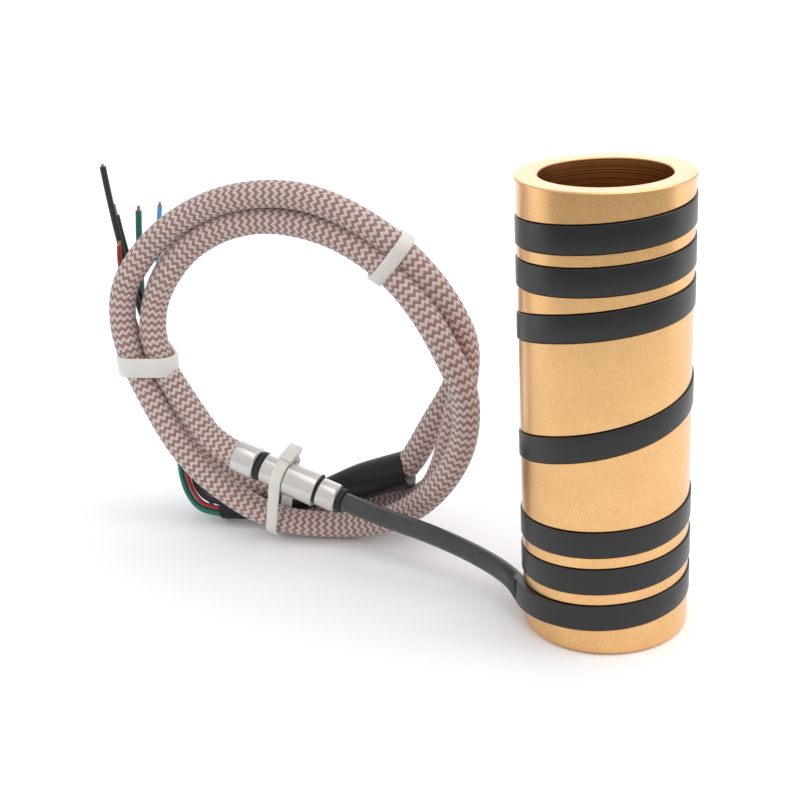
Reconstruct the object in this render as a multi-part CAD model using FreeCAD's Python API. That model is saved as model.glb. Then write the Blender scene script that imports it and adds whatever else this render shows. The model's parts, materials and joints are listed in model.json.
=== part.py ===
import FreeCAD, Part
import os
from math import acos, cos, pi, radians, sin, sqrt, tan

V = FreeCAD.Vector

# Hot runner nozzle heater: a brass sleeve with a flattened heater coil pressed into its helical
# groove, a round cold lead, a stainless transition fitting and a braided flexible lead that is
# wound up beside it. Millimetres. The sleeve stands on the floor, its bore along Z.

# Brass sleeve
bore_r = 10.0                 # slides over the nozzle body
sleeve_h = 74.0
groove_wall = 1.27            # left between the bore and the floor of the coil's groove
rim_h = 1.4                   # turned rim at the top, level with the coil
mouth_chamfer = 0.4           # at both ends of the bore
rim_chamfer = 0.35
foot_round = 1.0              # outer edge of the bottom end

# Flattened heater coil
band_w = 4.2                  # along the sleeve
band_t = 2.2                  # through the wall
band_corner_w = 0.55          # outer corners, rounded by the flattening
band_corner_t = 0.3
groove_side_gap = 0.08        # each side of the coil
groove_floor_gap = 0.03
coil_outer_r = bore_r + groove_wall + groove_floor_gap + band_t     # also of the top rim
coil_proud = 0.25             # how far the coil stands out of the sleeve's wall
wall_r = coil_outer_r - coil_proud
groove_lead_in = 0.12         # turns that the groove runs on past the coil's lower end
groove_end_gap = 0.01         # turns that it runs on past the upper end
first_band_z = 6.95           # middle of the lowest turn, at the front of the sleeve
close_pitch = 6.3             # rise per turn near the ends
wide_pitch = 19.5             # rise per turn over the middle
coil_start_turn = -0.25       # turns counted from the front of the lowest band
spread_start_turn = 2.05
spread_full_turn = 2.35
gather_start_turn = 3.75
gather_full_turn = 4.1
coil_end_turn = 6.45
lift_turn = -0.02             # below this turn the coil climbs out of its groove
lift_height = 1.15
arcs_per_turn = 12            # of the coil's edges

# Cold lead and transition fitting
lead_r = 1.7
fitting_front = V(-43.8, 26.9, 10.9)
fitting_axis = V(-18.4, 8.0, 6.2).normalize()
lead_route = [V(-14.9, 4.0, 5.9), V(-21.0, 10.6, 7.3), V(-28.6, 16.6, 8.6)]
lead_straight = 7.5           # of the lead before the fitting, in line with it
seal_r = 2.25
seal_l = 1.6
ferrule_r = 2.6
ferrule_l = 5.0
spigot_r = 2.2
ring_l = 0.9                  # black ring between ferrule and barrel
ring_r = 2.45
barrel_r = 3.1
barrel_l = 6.3
neck_r = 2.8
neck_l = 3.0
barrel_bore_r = 2.3
barrel_wall = 1.0
o_ring_l = 1.6
o_ring_r = 2.75
gland_r = 2.95
gland_l = 4.2
gland_spigot_l = 1.0
cable_socket_l = 3.6
wire_bore_r = 1.5
edge_chamfer = 0.25
slide_gap = 0.05

# Joints inside the fitting
pin_r = 0.25
crimp_r = 0.4
crimp_l = 3.2
crimp_circle_r = 1.35
lead_end_depth = 2.0          # how far the cold lead reaches past the barrel's front face
insulator_l = 4.4

# Braided lead, wound in three loose turns
cable_r = 2.4
cord_sides = 8
ring_centre = V(-50.5, 0.0, 33.5)
turn_stations = [             # angle about the ring, distance from its centre, place along Y
    (-150, 21.0, 38.2), (-171, 23.0, 40.6), (-184, 25.6, 42.0), (-200, 27.3, 43.0),
    (-231, 27.7, 41.8), (-260, 27.3, 37.4), (-276, 26.7, 34.0), (-306, 26.4, 27.1),
    (-332, 26.6, 21.8), (-349, 27.8, 19.1), (-360, 29.5, 18.6), (-380, 30.8, 20.2),
    (-396, 31.2, 22.8), (-410, 32.0, 26.5), (-422, 32.6, 30.4), (-432, 32.2, 33.0),
    (-450, 30.9, 34.8), (-470, 28.8, 35.2), (-480, 27.6, 35.6), (-498, 27.0, 37.0),
    (-514, 26.8, 38.6), (-528, 27.8, 40.6), (-540, 29.8, 42.4), (-553, 32.2, 43.6),
    (-565, 33.6, 44.0), (-585, 32.7, 43.2), (-601, 32.2, 40.8), (-636, 31.7, 33.6),
    (-657, 30.8, 28.6), (-676, 30.4, 25.4), (-692, 30.6, 23.6), (-709, 31.0, 24.0),
    (-720, 29.8, 24.4), (-730, 28.8, 24.8), (-748, 29.8, 27.0), (-762, 33.0, 31.2),
    (-768, 34.4, 33.8), (-776, 34.5, 38.4), (-790, 32.8, 43.8), (-810, 30.9, 46.0),
    (-840, 28.2, 46.6),
    (-858, 26.4, 46.4), (-874, 25.2, 46.6), (-900, 27.0, 47.8), (-930, 27.8, 48.2),
    (-951, 27.8, 46.8), (-980, 27.4, 42.6), (-1010, 27.8, 36.4), (-1036, 28.3, 31.0),
    (-1052, 28.7, 29.0), (-1069, 29.6, 29.2), (-1080, 30.0, 30.6), (-1090, 28.4, 31.8),
    (-1100, 27.0, 32.8), (-1110, 26.6, 34.0)]
bundle_first_angle = -165     # the turns lie together from here
bundle_last_angle = -1086     # to here
back_pass_from_angle = -752   # except for the strand that drops behind the heat shrink
back_pass_to_angle = -866
bundle_step_angle = 15
bundle_sides = 16
lead_in_angles = (-150, -164)
back_pass_angles = (-740, -754, -768, -780, -796, -816, -836, -858, -880)
run_out_angles = (-1076, -1094, -1108)

# Heat shrink over the end of the braid
shrink_route = [V(-31.1, 36.0, 12.2), V(-45.0, 39.4, 7.4), V(-58.0, 41.0, 2.7), V(-67.0, 44.5, 2.2)]
shrink_r_cable = 3.2
shrink_r_wires = 2.1
cable_in_shrink = 9.0
shrink_steps = 6
shrink_sides = 12

# Wires of the lead, from the heat shrink up behind the ring
power_wire_r = 0.6
signal_wire_r = 0.45
wire_circle_r = 1.15
wire_in_shrink = 2.0
wires = {                     # radius, place round the heat shrink, bare end, route
    "power_wire_a": (power_wire_r, 90, 0.5, [
        V(-71.8, 46.7, 4.8), V(-73.2, 49.2, 8.4), V(-73.0, 51.6, 14.0), V(-76.0, 53.8, 24.0),
        V(-79.7, 54.8, 36.0), V(-82.6, 52.6, 53.8), V(-83.6, 51.8, 68.2)]),
    "power_wire_b": (power_wire_r, 18, 2.2, [
        V(-70.9, 47.9, 4.2), V(-72.0, 50.6, 8.2), V(-71.6, 53.2, 13.6), V(-74.6, 55.2, 24.0),
        V(-78.3, 55.6, 36.0), V(-81.0, 53.6, 49.5), V(-81.7, 52.7, 59.8)]),
    "ground_wire": (power_wire_r, 234, 1.0, [
        V(-72.6, 46.0, 2.2), V(-75.0, 48.6, 6.0), V(-75.6, 51.6, 11.6), V(-79.2, 54.4, 22.0),
        V(-80.2, 56.8, 34.0), V(-79.8, 55.6, 48.0), V(-78.4, 53.8, 59.2)]),
    "thermocouple_wire_plus": (signal_wire_r, 162, 1.0, [
        V(-72.0, 45.4, 3.8), V(-74.0, 47.8, 7.6), V(-74.2, 50.4, 12.6), V(-77.6, 53.2, 23.5),
        V(-81.2, 54.4, 35.0), V(-83.4, 51.6, 50.0), V(-82.6, 50.4, 54.6)]),
    "thermocouple_wire_minus": (signal_wire_r, 306, 1.0, [
        V(-70.2, 47.6, 2.2), V(-70.2, 53.4, 7.0), V(-73.8, 56.6, 20.0), V(-78.0, 57.2, 34.0),
        V(-76.0, 54.4, 49.0), V(-74.2, 53.4, 61.4)]),
}
conductor_share = 0.55        # of the wire's radius

# Nylon cable ties
tie_t = 1.0
tie_w = 2.5
wide_tie_w = 3.6
tie_gap = 0.2
upper_tie_angle = 50
left_tie_angle = 180
fitting_tie_depth = 13.8      # from the front of the fitting
fitting_tie_strand = V(-58.4, 35.0, 5.5)
head_l = 4.2
head_t = 3.0
head_overhang = 0.3           # of the head past each edge of the strap
head_inset = 2.4              # of the ring ties' heads towards the inside of the ring
tail_l = 2.6


# Places along the heater coil

def coil_z(turn):
    """Height of the coil's middle line: close turns, a wide middle, close turns again."""
    ramp_up = spread_full_turn - spread_start_turn
    ramp_down = gather_full_turn - gather_start_turn
    extra = wide_pitch - close_pitch
    up = min(max(turn - spread_start_turn, 0.0), ramp_up)
    level = min(max(turn - spread_full_turn, 0.0), gather_start_turn - spread_full_turn)
    down = min(max(turn - gather_start_turn, 0.0), ramp_down)
    wide = up * up / (2 * ramp_up) + level + down - down * down / (2 * ramp_down)
    return first_band_z + close_pitch * turn + extra * wide


def coil_lift(turn):
    """How far the coil has climbed out of its groove towards the cold lead."""
    if turn >= lift_turn:
        return 0.0
    share = (lift_turn - turn) / (lift_turn - coil_start_turn)
    return lift_height * share * share


def around(turn, r, z):
    """A point at a turn count: turn 0 is at the front, and turns rise anticlockwise from above."""
    a = 2 * pi * turn - pi / 2
    return V(r * cos(a), r * sin(a), z)


def helical_bar(profile, first_turn, last_turn, lift):
    """A solid that carries a closed profile of (radius, height) corners along the coil."""
    count = round((last_turn - first_turn) * arcs_per_turn)

    def section(step):
        turn = first_turn + (last_turn - first_turn) * step / count
        return [around(turn, r + lift(turn), coil_z(turn) + h) for r, h in profile]

    sections = [section(i) for i in range(count + 1)]
    middles = [section(i + 0.5) for i in range(count)]
    faces = [Part.Face(Part.makePolygon(s + s[:1])) for s in (sections[0], sections[-1])]
    for first, middle, last in zip(sections, middles, sections[1:]):
        edges = [Part.Arc(*points).toShape() for points in zip(first, middle, last)]
        for edge, following in zip(edges, edges[1:] + edges[:1]):
            faces.append(Part.makeRuledSurface(edge, following, 1))
    shell = Part.Shell(faces)
    shell.sewShape()
    bar = Part.Solid(shell)
    if bar.Volume < 0:
        bar.reverse()
    return bar


# Shapes that several pieces use

def turned(profile):
    """A solid of revolution about Z from (radius, height) corners."""
    points = [V(r, 0, z) for r, z in profile]
    return Part.Face(Part.makePolygon(points + points[:1])).revolve(V(0, 0, 0), V(0, 0, 1), 360)


def on_fitting(shape, depth=0.0):
    """Moves a shape that was made along Z onto the fitting's axis, depth behind its front."""
    moved = shape.copy()
    moved.Placement = FreeCAD.Placement(fitting_front + fitting_axis * depth,
                                        FreeCAD.Rotation(V(0, 0, 1), fitting_axis))
    return moved


def rounded_route(points):
    """Straight runs joined by tangent arcs, each as large as its two runs allow."""
    edges = []
    here = points[0]
    for before, corner, after in zip(points, points[1:], points[2:]):
        back = (before - corner).normalize()
        on = (after - corner).normalize()
        reach = 0.45 * min((before - corner).Length, (after - corner).Length)
        half = acos(max(-1.0, min(1.0, back.dot(on)))) / 2
        radius = reach * tan(half)
        first = corner + back * reach
        last = corner + on * reach
        inward = (back + on).normalize()
        centre = corner + inward * sqrt(reach * reach + radius * radius)
        middle = centre - inward * radius
        edges.append(Part.LineSegment(here, first).toShape())
        edges.append(Part.Arc(first, middle, last).toShape())
        here = last
        bend_radii.append(radius)
    edges.append(Part.LineSegment(here, points[-1]).toShape())
    return Part.Wire(edges)


def tube(points, radius):
    """A round rod along a route."""
    return swept(points, Part.Circle(points[0], points[1] - points[0], radius).toShape())


def cord(points, radius):
    """A cord along a route, its round section drawn with a few flat sides."""
    along = (points[1] - points[0]).normalize()
    side = along.cross(V(0, 0, 1)).normalize() * radius
    up = side.cross(along)
    turns = [2 * pi * i / cord_sides for i in range(cord_sides)]
    ring = [points[0] + side * cos(a) + up * sin(a) for a in turns]
    return swept(points, Part.makePolygon(ring + ring[:1]))


def swept(points, section):
    """A solid that carries a closed section along a route."""
    path = rounded_route(points)
    solid = path.makePipeShell([Part.Wire(section)], True, True)
    share = solid.Volume / (Part.Face(Part.Wire(section)).Area * path.Length)
    print("cord length %.1f volume share %.3f tightest bend %.1f"
          % (path.Length, share, min(bend_radii)))
    bend_radii.clear()
    return solid


# Sleeve and heater coil

def brass_sleeve():
    """The turned sleeve: rim, bore with chamfered mouths, rounded foot and the coil's groove."""
    blank = Part.makeCylinder(wall_r, sleeve_h)
    foot = [e for e in blank.Edges if e.BoundBox.ZMax < 0.01]
    blank = blank.makeFillet(foot_round, foot)
    rim = Part.makeCylinder(coil_outer_r, rim_h, V(0, 0, sleeve_h - rim_h))
    lip = [e for e in rim.Edges if e.BoundBox.ZMin > sleeve_h - 0.01]
    blank = blank.fuse(rim.makeChamfer(rim_chamfer, lip)).removeSplitter()
    c = mouth_chamfer
    through = [(0, -1), (bore_r + c + 1, -1), (bore_r, c), (bore_r, sleeve_h - c),
               (bore_r + c + 1, sleeve_h + 1), (0, sleeve_h + 1)]
    return blank.cut(turned(through)).cut(groove())


def groove():
    """The space that is milled out of the sleeve for the coil."""
    half = band_w / 2 + groove_side_gap
    floor_r = coil_outer_r - band_t - groove_floor_gap
    outside_r = coil_outer_r + 2.0
    profile = [(floor_r, -half), (outside_r, -half), (outside_r, half), (floor_r, half)]
    return helical_bar(profile, coil_start_turn - groove_lead_in, coil_end_turn + groove_end_gap,
                       lambda turn: 0.0)


def heater_coil():
    """The sheathed heater: flattened turns in the groove and the round cold lead in one piece."""
    half = band_w / 2
    inner_r = coil_outer_r - band_t
    soft_half = half - band_corner_w
    soft_r = coil_outer_r - band_corner_t
    profile = [(inner_r, -half), (soft_r, -half), (coil_outer_r, -soft_half),
               (coil_outer_r, soft_half), (soft_r, half), (inner_r, half)]
    band = helical_bar(profile, coil_start_turn, coil_end_turn, coil_lift)
    middle_r = coil_outer_r - band_t / 2 + lift_height
    start = around(coil_start_turn, middle_r, coil_z(coil_start_turn))
    end = fitting_front + fitting_axis * (ferrule_l + ring_l + lead_end_depth)
    lead = tube([start] + lead_route + [fitting_front - fitting_axis * lead_straight, end], lead_r)
    return band.fuse(lead).removeSplitter()


# Transition fitting, made along Z from its front face

def fitting_depths():
    """Where the ferrule, the barrel, the rear O-ring and the gland begin."""
    barrel_at = ferrule_l + ring_l
    o_ring_at = barrel_at + barrel_l + neck_l
    return barrel_at, o_ring_at, o_ring_at + o_ring_l


def lead_seal():
    """Black collar round the cold lead at the front of the fitting."""
    hole = lead_r + slide_gap
    return turned([(hole, -seal_l), (seal_r - edge_chamfer, -seal_l), (seal_r, -seal_l / 2),
                   (seal_r, 0), (hole, 0)])


def front_ferrule():
    """Bright ferrule with the spigot that carries the front ring."""
    hole = lead_r + slide_gap
    c = edge_chamfer
    return turned([(hole, 0), (ferrule_r - 2 * c, 0), (ferrule_r, 2 * c), (ferrule_r, ferrule_l - c),
                   (ferrule_r - c, ferrule_l), (spigot_r, ferrule_l),
                   (spigot_r, ferrule_l + ring_l), (hole, ferrule_l + ring_l)])


def front_ring():
    """Black ring between ferrule and barrel."""
    return turned([(spigot_r, ferrule_l), (ring_r, ferrule_l), (ring_r, ferrule_l + ring_l),
                   (spigot_r, ferrule_l + ring_l)])


def transition_barrel():
    """Turned barrel with its narrower neck, hollow for the joints inside."""
    at, o_ring_at, _ = fitting_depths()
    hole = lead_r + slide_gap
    c = edge_chamfer
    step = at + barrel_l
    return turned([(hole, at), (barrel_r - c, at), (barrel_r, at + c), (barrel_r, step - c),
                   (barrel_r - c, step), (neck_r, step), (neck_r, o_ring_at - c),
                   (neck_r - c, o_ring_at), (barrel_bore_r, o_ring_at),
                   (barrel_bore_r, at + barrel_wall), (hole, at + barrel_wall)])


def rear_o_ring():
    """Black O-ring squeezed between barrel and cable gland, with a rounded outside."""
    _, at, end = fitting_depths()
    bulge = o_ring_l / 4
    return turned([(barrel_bore_r, at), (o_ring_r - bulge, at), (o_ring_r, at + bulge),
                   (o_ring_r, end - bulge), (o_ring_r - bulge, end), (barrel_bore_r, end)])


def cable_gland():
    """Rear sleeve that holds the braid, with a spigot in the barrel's bore."""
    _, o_ring_at, at = fitting_depths()
    end = at + gland_l
    c = edge_chamfer
    cable_hole = cable_r + slide_gap
    socket_at = end - cable_socket_l
    return turned([(wire_bore_r, o_ring_at - gland_spigot_l),
                   (barrel_bore_r, o_ring_at - gland_spigot_l), (barrel_bore_r, at),
                   (gland_r - c, at), (gland_r, at + c), (gland_r, end - c),
                   (gland_r - c, end), (cable_hole, end), (cable_hole, socket_at),
                   (wire_bore_r, socket_at)])


def joint_places():
    """Centres of the five joints round the fitting's axis: power, thermocouple, earth."""
    names = ["power_a", "thermocouple_plus", "ground", "thermocouple_minus", "power_b"]
    step = 2 * pi / len(names)
    return {name: V(crimp_circle_r * cos(i * step), crimp_circle_r * sin(i * step), 0)
            for i, name in enumerate(names)}


def inner_pieces():
    """Pins, crimps, ceramic insulator and potting that are sealed in the barrel."""
    barrel_at, o_ring_at, _ = fitting_depths()
    lead_end = barrel_at + lead_end_depth
    insulator_at = o_ring_at - gland_spigot_l - insulator_l
    crimp_at = insulator_at + (insulator_l - crimp_l) / 2
    insulator = Part.makeCylinder(barrel_bore_r, insulator_l, V(0, 0, insulator_at))
    pieces = {}
    for name, place in joint_places().items():
        crimp = Part.makeCylinder(crimp_r, crimp_l, place + V(0, 0, crimp_at))
        insulator = insulator.cut(crimp)
        pieces[name.replace("_", "_crimp_", 1) if "_" in name else name + "_crimp"] = crimp
        if name != "ground":
            pin = Part.makeCylinder(pin_r, crimp_at - lead_end, place + V(0, 0, lead_end))
            insulator = insulator.cut(pin)
            pieces[name.replace("_", "_pin_", 1)] = pin
    potting_at = barrel_at + barrel_wall
    potting = Part.makeCylinder(barrel_bore_r, insulator_at - potting_at, V(0, 0, potting_at))
    potting = potting.cut(Part.makeCylinder(lead_r, lead_end - potting_at, V(0, 0, potting_at)))
    for piece in pieces.values():
        potting = potting.cut(piece)
    pieces["crimp_insulator"] = insulator
    pieces["transition_potting"] = potting
    return pieces


# Braided lead

def turn_place(angle):
    """Distance from the ring's centre and place along Y, between two of the stations."""
    for (a, r0, y0), (b, r1, y1) in zip(turn_stations, turn_stations[1:]):
        if b <= angle <= a:
            share = (a - angle) / (a - b)
            return r0 + (r1 - r0) * share, y0 + (y1 - y0) * share
    raise ValueError("angle %s is off the ring" % angle)


def ring_point(angle, r, y):
    """A point of the ring at an angle about its centre."""
    a = radians(angle)
    return ring_centre + V(r * cos(a), y, r * sin(a))


def bundle_at(angle):
    """Middle and half sizes of the strands that lie together at an angle of the ring."""
    places = []
    for turn in range(-4, 1):
        unwound = angle + 360 * turn
        in_bundle = bundle_last_angle <= unwound <= bundle_first_angle
        if in_bundle and not back_pass_to_angle < unwound < back_pass_from_angle:
            places.append(turn_place(unwound))
    radii = [p[0] for p in places]
    depths = [p[1] for p in places]
    return ((min(radii) + max(radii)) / 2, (min(depths) + max(depths)) / 2,
            (max(radii) - min(radii)) / 2 + cable_r, (max(depths) - min(depths)) / 2 + cable_r)


def bundle_section(angle):
    """The bundle's outline at an angle, as an oval polygon."""
    r, y, half_r, half_y = bundle_at(angle)
    ring = [ring_point(angle, r + half_r * cos(2 * pi * i / bundle_sides),
                       y + half_y * sin(2 * pi * i / bundle_sides)) for i in range(bundle_sides)]
    return Part.makePolygon(ring + ring[:1])


def lead_turns():
    """The outer shape of the wound turns, in one closed ring."""
    angles = sorted(set(range(0, 360, bundle_step_angle)) | {upper_tie_angle, left_tie_angle})
    halves = []
    split = len(angles) // 2
    for chosen in (angles[:split + 1], angles[split:] + [360]):
        halves.append(Part.makeLoft([bundle_section(a) for a in chosen], True, True))
    return halves[0].fuse(halves[1]).removeSplitter()


def braided_lead():
    """The braided lead: its turns, and the three stretches that run outside the bundle."""
    turns = lead_turns()
    _, _, gland_at = fitting_depths()
    socket_at = gland_at + gland_l - cable_socket_l
    gland_end = fitting_front + fitting_axis * (gland_at + gland_l)
    lead_in = [fitting_front + fitting_axis * socket_at, gland_end + fitting_axis * 4.5]
    lead_in += [ring_point(a, *turn_place(a)) for a in lead_in_angles]
    back = [ring_point(a, *turn_place(a)) for a in back_pass_angles]
    out = [ring_point(a, *turn_place(a)) for a in run_out_angles]
    along = (shrink_route[1] - shrink_route[0]).normalize()
    out += [shrink_route[0], shrink_route[0] + along * cable_in_shrink]
    return {
        "braided_lead_turns": turns,
        "braided_lead_start": outside(cord(lead_in, cable_r), turns),
        "braided_lead_back_strand": outside(cord(back, cable_r), turns),
        "braided_lead_end": outside(cord(out, cable_r), turns),
    }


def outside(strand, turns):
    """The stretch of a strand that runs free of the wound turns."""
    return max(strand.cut(turns).Solids, key=lambda stretch: stretch.Volume)


def heat_shrink(cable_end, wire_solids):
    """Tapered heat shrink over the end of the braid and the start of the wires."""
    path = rounded_route(shrink_route)
    bend_radii.clear()
    sections = []
    for i in range(shrink_steps + 1):
        share = i / shrink_steps
        edge, u = edge_at(path, share * path.Length)
        radius = shrink_r_cable + (shrink_r_wires - shrink_r_cable) * share
        middle = edge.valueAt(u)
        side = edge.tangentAt(u).cross(V(0, 0, 1)).normalize() * radius
        up = side.cross(edge.tangentAt(u))
        turns = [2 * pi * k / shrink_sides for k in range(shrink_sides)]
        ring = [middle + side * cos(a) + up * sin(a) for a in turns]
        sections.append(Part.makePolygon(ring + ring[:1]))
    sleeve = Part.makeLoft(sections, True, True)
    for inside in [cable_end] + wire_solids:
        sleeve = sleeve.cut(inside)
    return sleeve


def edge_at(path, distance):
    """The edge of a path at a distance along it, and the parameter there."""
    for edge in path.OrderedEdges:
        if distance <= edge.Length + 1e-6:
            return edge, edge.getParameterByLength(min(distance, edge.Length))
        distance -= edge.Length
    return path.OrderedEdges[-1], path.OrderedEdges[-1].LastParameter


def wire_pieces():
    """The five insulated wires and their bare ends."""
    pieces = {}
    end = shrink_route[-1]
    along = (end - shrink_route[-2]).normalize()
    side = along.cross(V(0, 0, 1)).normalize()
    up = side.cross(along)
    for name, (radius, place, bare, route) in wires.items():
        a = radians(place)
        start = end + (side * cos(a) + up * sin(a)) * wire_circle_r
        points = [start - along * wire_in_shrink, start + along * wire_in_shrink] + route
        pieces[name] = cord(points, radius)
        tip = (route[-1] - route[-2]).normalize()
        conductor = name.replace("wire", "conductor")
        pieces[conductor] = Part.makeCylinder(radius * conductor_share, bare, route[-1], tip)
    return pieces


# Cable ties

def oval(centre, x, y, half_x, half_y):
    """A closed oval polygon about a centre, with half sizes along two directions."""
    turns = [2 * pi * i / bundle_sides for i in range(bundle_sides)]
    ring = [centre + x * (half_x * cos(a)) + y * (half_y * sin(a)) for a in turns]
    return Part.makePolygon(ring + ring[:1])


def ring_tie(angle, width):
    """A tie round the bundle, with its head on the outside of the ring, at the back."""
    r, y, half_r, half_y = bundle_at(angle)
    a = radians(angle)
    radial = V(cos(a), 0, sin(a))
    along = V(-sin(a), 0, cos(a))
    deep = V(0, 1, 0)
    centre = ring_point(angle, r, y) - along * (width / 2)
    inner = oval(centre, radial, deep, half_r + tie_gap, half_y + tie_gap)
    outer = oval(centre, radial, deep, half_r + tie_gap + tie_t, half_y + tie_gap + tie_t)
    band = Part.Face(outer).cut(Part.Face(inner)).extrude(along * width)
    seat = centre + along * (width / 2) + deep * (half_y + tie_gap) - radial * head_inset
    return band.fuse(tie_head(seat, deep, radial * -1, along, width)).removeSplitter()


def tie_head(seat, outward, lengthwise, across, width):
    """The ratchet head, standing on the strap, with the trimmed tail beside it."""
    corner = seat - lengthwise * (head_l / 2) - across * (width / 2 + head_overhang)
    head = block(corner, lengthwise * head_l, across * (width + 2 * head_overhang),
                 outward * head_t)
    tail_corner = seat + lengthwise * (head_l / 2) - across * (width / 2) + outward * tie_t
    tail = block(tail_corner, lengthwise * tail_l, across * width, outward * tie_t)
    return head.fuse(tail)


def block(corner, a, b, c):
    """A box from a corner and its three edges."""
    face = Part.Face(Part.makePolygon([corner, corner + a, corner + a + b, corner + b, corner]))
    return face.extrude(c)


def fitting_tie():
    """The tie that holds the fitting's neck to the strand below it."""
    middle = fitting_front + fitting_axis * fitting_tie_depth
    offset = fitting_tie_strand - middle
    down = (offset - fitting_axis * offset.dot(fitting_axis)).normalize()
    reach = offset.dot(down)
    side = fitting_axis.cross(down)
    start = middle - fitting_axis * (tie_w / 2)
    loops = []
    for extra in (tie_gap, tie_gap + tie_t):
        loops.append(Part.Face(belt(start, start + down * reach, side, neck_r + extra,
                                    cable_r + extra)))
    band = loops[1].cut(loops[0]).extrude(fitting_axis * tie_w)
    seat = middle - down * (neck_r + tie_gap)
    return band.fuse(tie_head(seat, down * -1, side, fitting_axis, tie_w)).removeSplitter()


def belt(a, b, side, r_a, r_b):
    """The wire of a belt round two circles that lie in one plane."""
    down = (b - a).normalize()
    lean = (r_a - r_b) / (b - a).Length
    touch = sqrt(1 - lean * lean)
    right = side * touch + down * lean
    left = side * -touch + down * lean
    return Part.Wire([
        Part.LineSegment(a + right * r_a, b + right * r_b).toShape(),
        Part.Arc(b + right * r_b, b + down * r_b, b + left * r_b).toShape(),
        Part.LineSegment(b + left * r_b, a + left * r_a).toShape(),
        Part.Arc(a + left * r_a, a - down * r_a, a + right * r_a).toShape(),
    ])


# Build and write every piece

bend_radii = []


def build():
    """All pieces by node name."""
    pieces = {"brass_sleeve": brass_sleeve(), "heater_coil": heater_coil()}
    for make in (lead_seal, front_ferrule, front_ring, transition_barrel, rear_o_ring,
                 cable_gland):
        pieces[make.__name__] = on_fitting(make())
    for name, shape in inner_pieces().items():
        pieces[name] = on_fitting(shape)
    pieces.update(braided_lead())
    wire_parts = wire_pieces()
    wire_solids = [shape for name, shape in wire_parts.items() if name in wires]
    pieces["heat_shrink_sleeve"] = heat_shrink(pieces["braided_lead_end"], wire_solids)
    pieces.update(wire_parts)
    ties = {"upper_cable_tie": ring_tie(upper_tie_angle, tie_w),
            "left_cable_tie": ring_tie(left_tie_angle, wide_tie_w),
            "fitting_cable_tie": fitting_tie()}
    for name, tie in ties.items():
        pieces[name] = tie.cut(pieces["braided_lead_turns"])
    return pieces


os.makedirs("parts", exist_ok=True)
for node, shape in build().items():
    solids = shape.Solids
    solid = solids[0] if len(solids) == 1 else Part.Compound(solids)
    print("%-26s solids %d valid %s volume %.2f" % (node, len(solids), solid.isValid(), solid.Volume))
    solid.exportStep("parts/%s.step" % node)
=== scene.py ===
"""Looks of a hot runner nozzle heater: a brass sleeve with a flattened heater coil in its helical
groove, a round cold lead, a stainless transition fitting and a braided lead wound up beside it.

Lengths in the dimension classes are millimetres; meshes are built in metres.
"""

import json
import logging
import math
from collections.abc import Iterable, Sequence
from dataclasses import dataclass, field
from enum import Enum

import bmesh
import bpy
from mathutils import Matrix, Vector

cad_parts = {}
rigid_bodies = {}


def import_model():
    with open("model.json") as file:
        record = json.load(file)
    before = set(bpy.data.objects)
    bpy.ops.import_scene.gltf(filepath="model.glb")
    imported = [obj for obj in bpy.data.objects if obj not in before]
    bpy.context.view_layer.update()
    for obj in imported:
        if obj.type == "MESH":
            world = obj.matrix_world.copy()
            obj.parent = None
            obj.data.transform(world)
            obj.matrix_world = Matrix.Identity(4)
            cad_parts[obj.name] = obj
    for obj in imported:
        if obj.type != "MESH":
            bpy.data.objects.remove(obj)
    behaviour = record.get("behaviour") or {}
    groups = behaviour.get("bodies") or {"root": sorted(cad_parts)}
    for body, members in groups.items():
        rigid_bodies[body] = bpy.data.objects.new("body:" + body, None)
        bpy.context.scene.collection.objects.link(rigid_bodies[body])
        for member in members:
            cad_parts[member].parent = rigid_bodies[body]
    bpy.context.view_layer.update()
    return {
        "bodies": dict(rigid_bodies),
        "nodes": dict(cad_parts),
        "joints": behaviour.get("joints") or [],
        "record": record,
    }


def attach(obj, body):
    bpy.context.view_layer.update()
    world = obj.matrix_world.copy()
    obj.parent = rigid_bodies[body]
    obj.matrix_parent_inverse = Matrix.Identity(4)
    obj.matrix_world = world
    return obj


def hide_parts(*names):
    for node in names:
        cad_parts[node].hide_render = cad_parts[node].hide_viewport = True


LOG = logging.getLogger("nozzle_heater")
MM = 0.001
BODY = "root"


# Dimensions


@dataclass(frozen=True)
class SleeveSize:
    """Brass sleeve, standing on the floor with its bore along Z."""

    bore_r: float = 10.0
    height: float = 74.0
    wall_r: float = 13.25
    rim_r: float = 13.5
    rim_h: float = 0.45
    mouth_chamfer: float = 0.15
    rim_chamfer: float = 0.2
    foot_round: float = 1.0
    edge_break: float = 0.07


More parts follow.
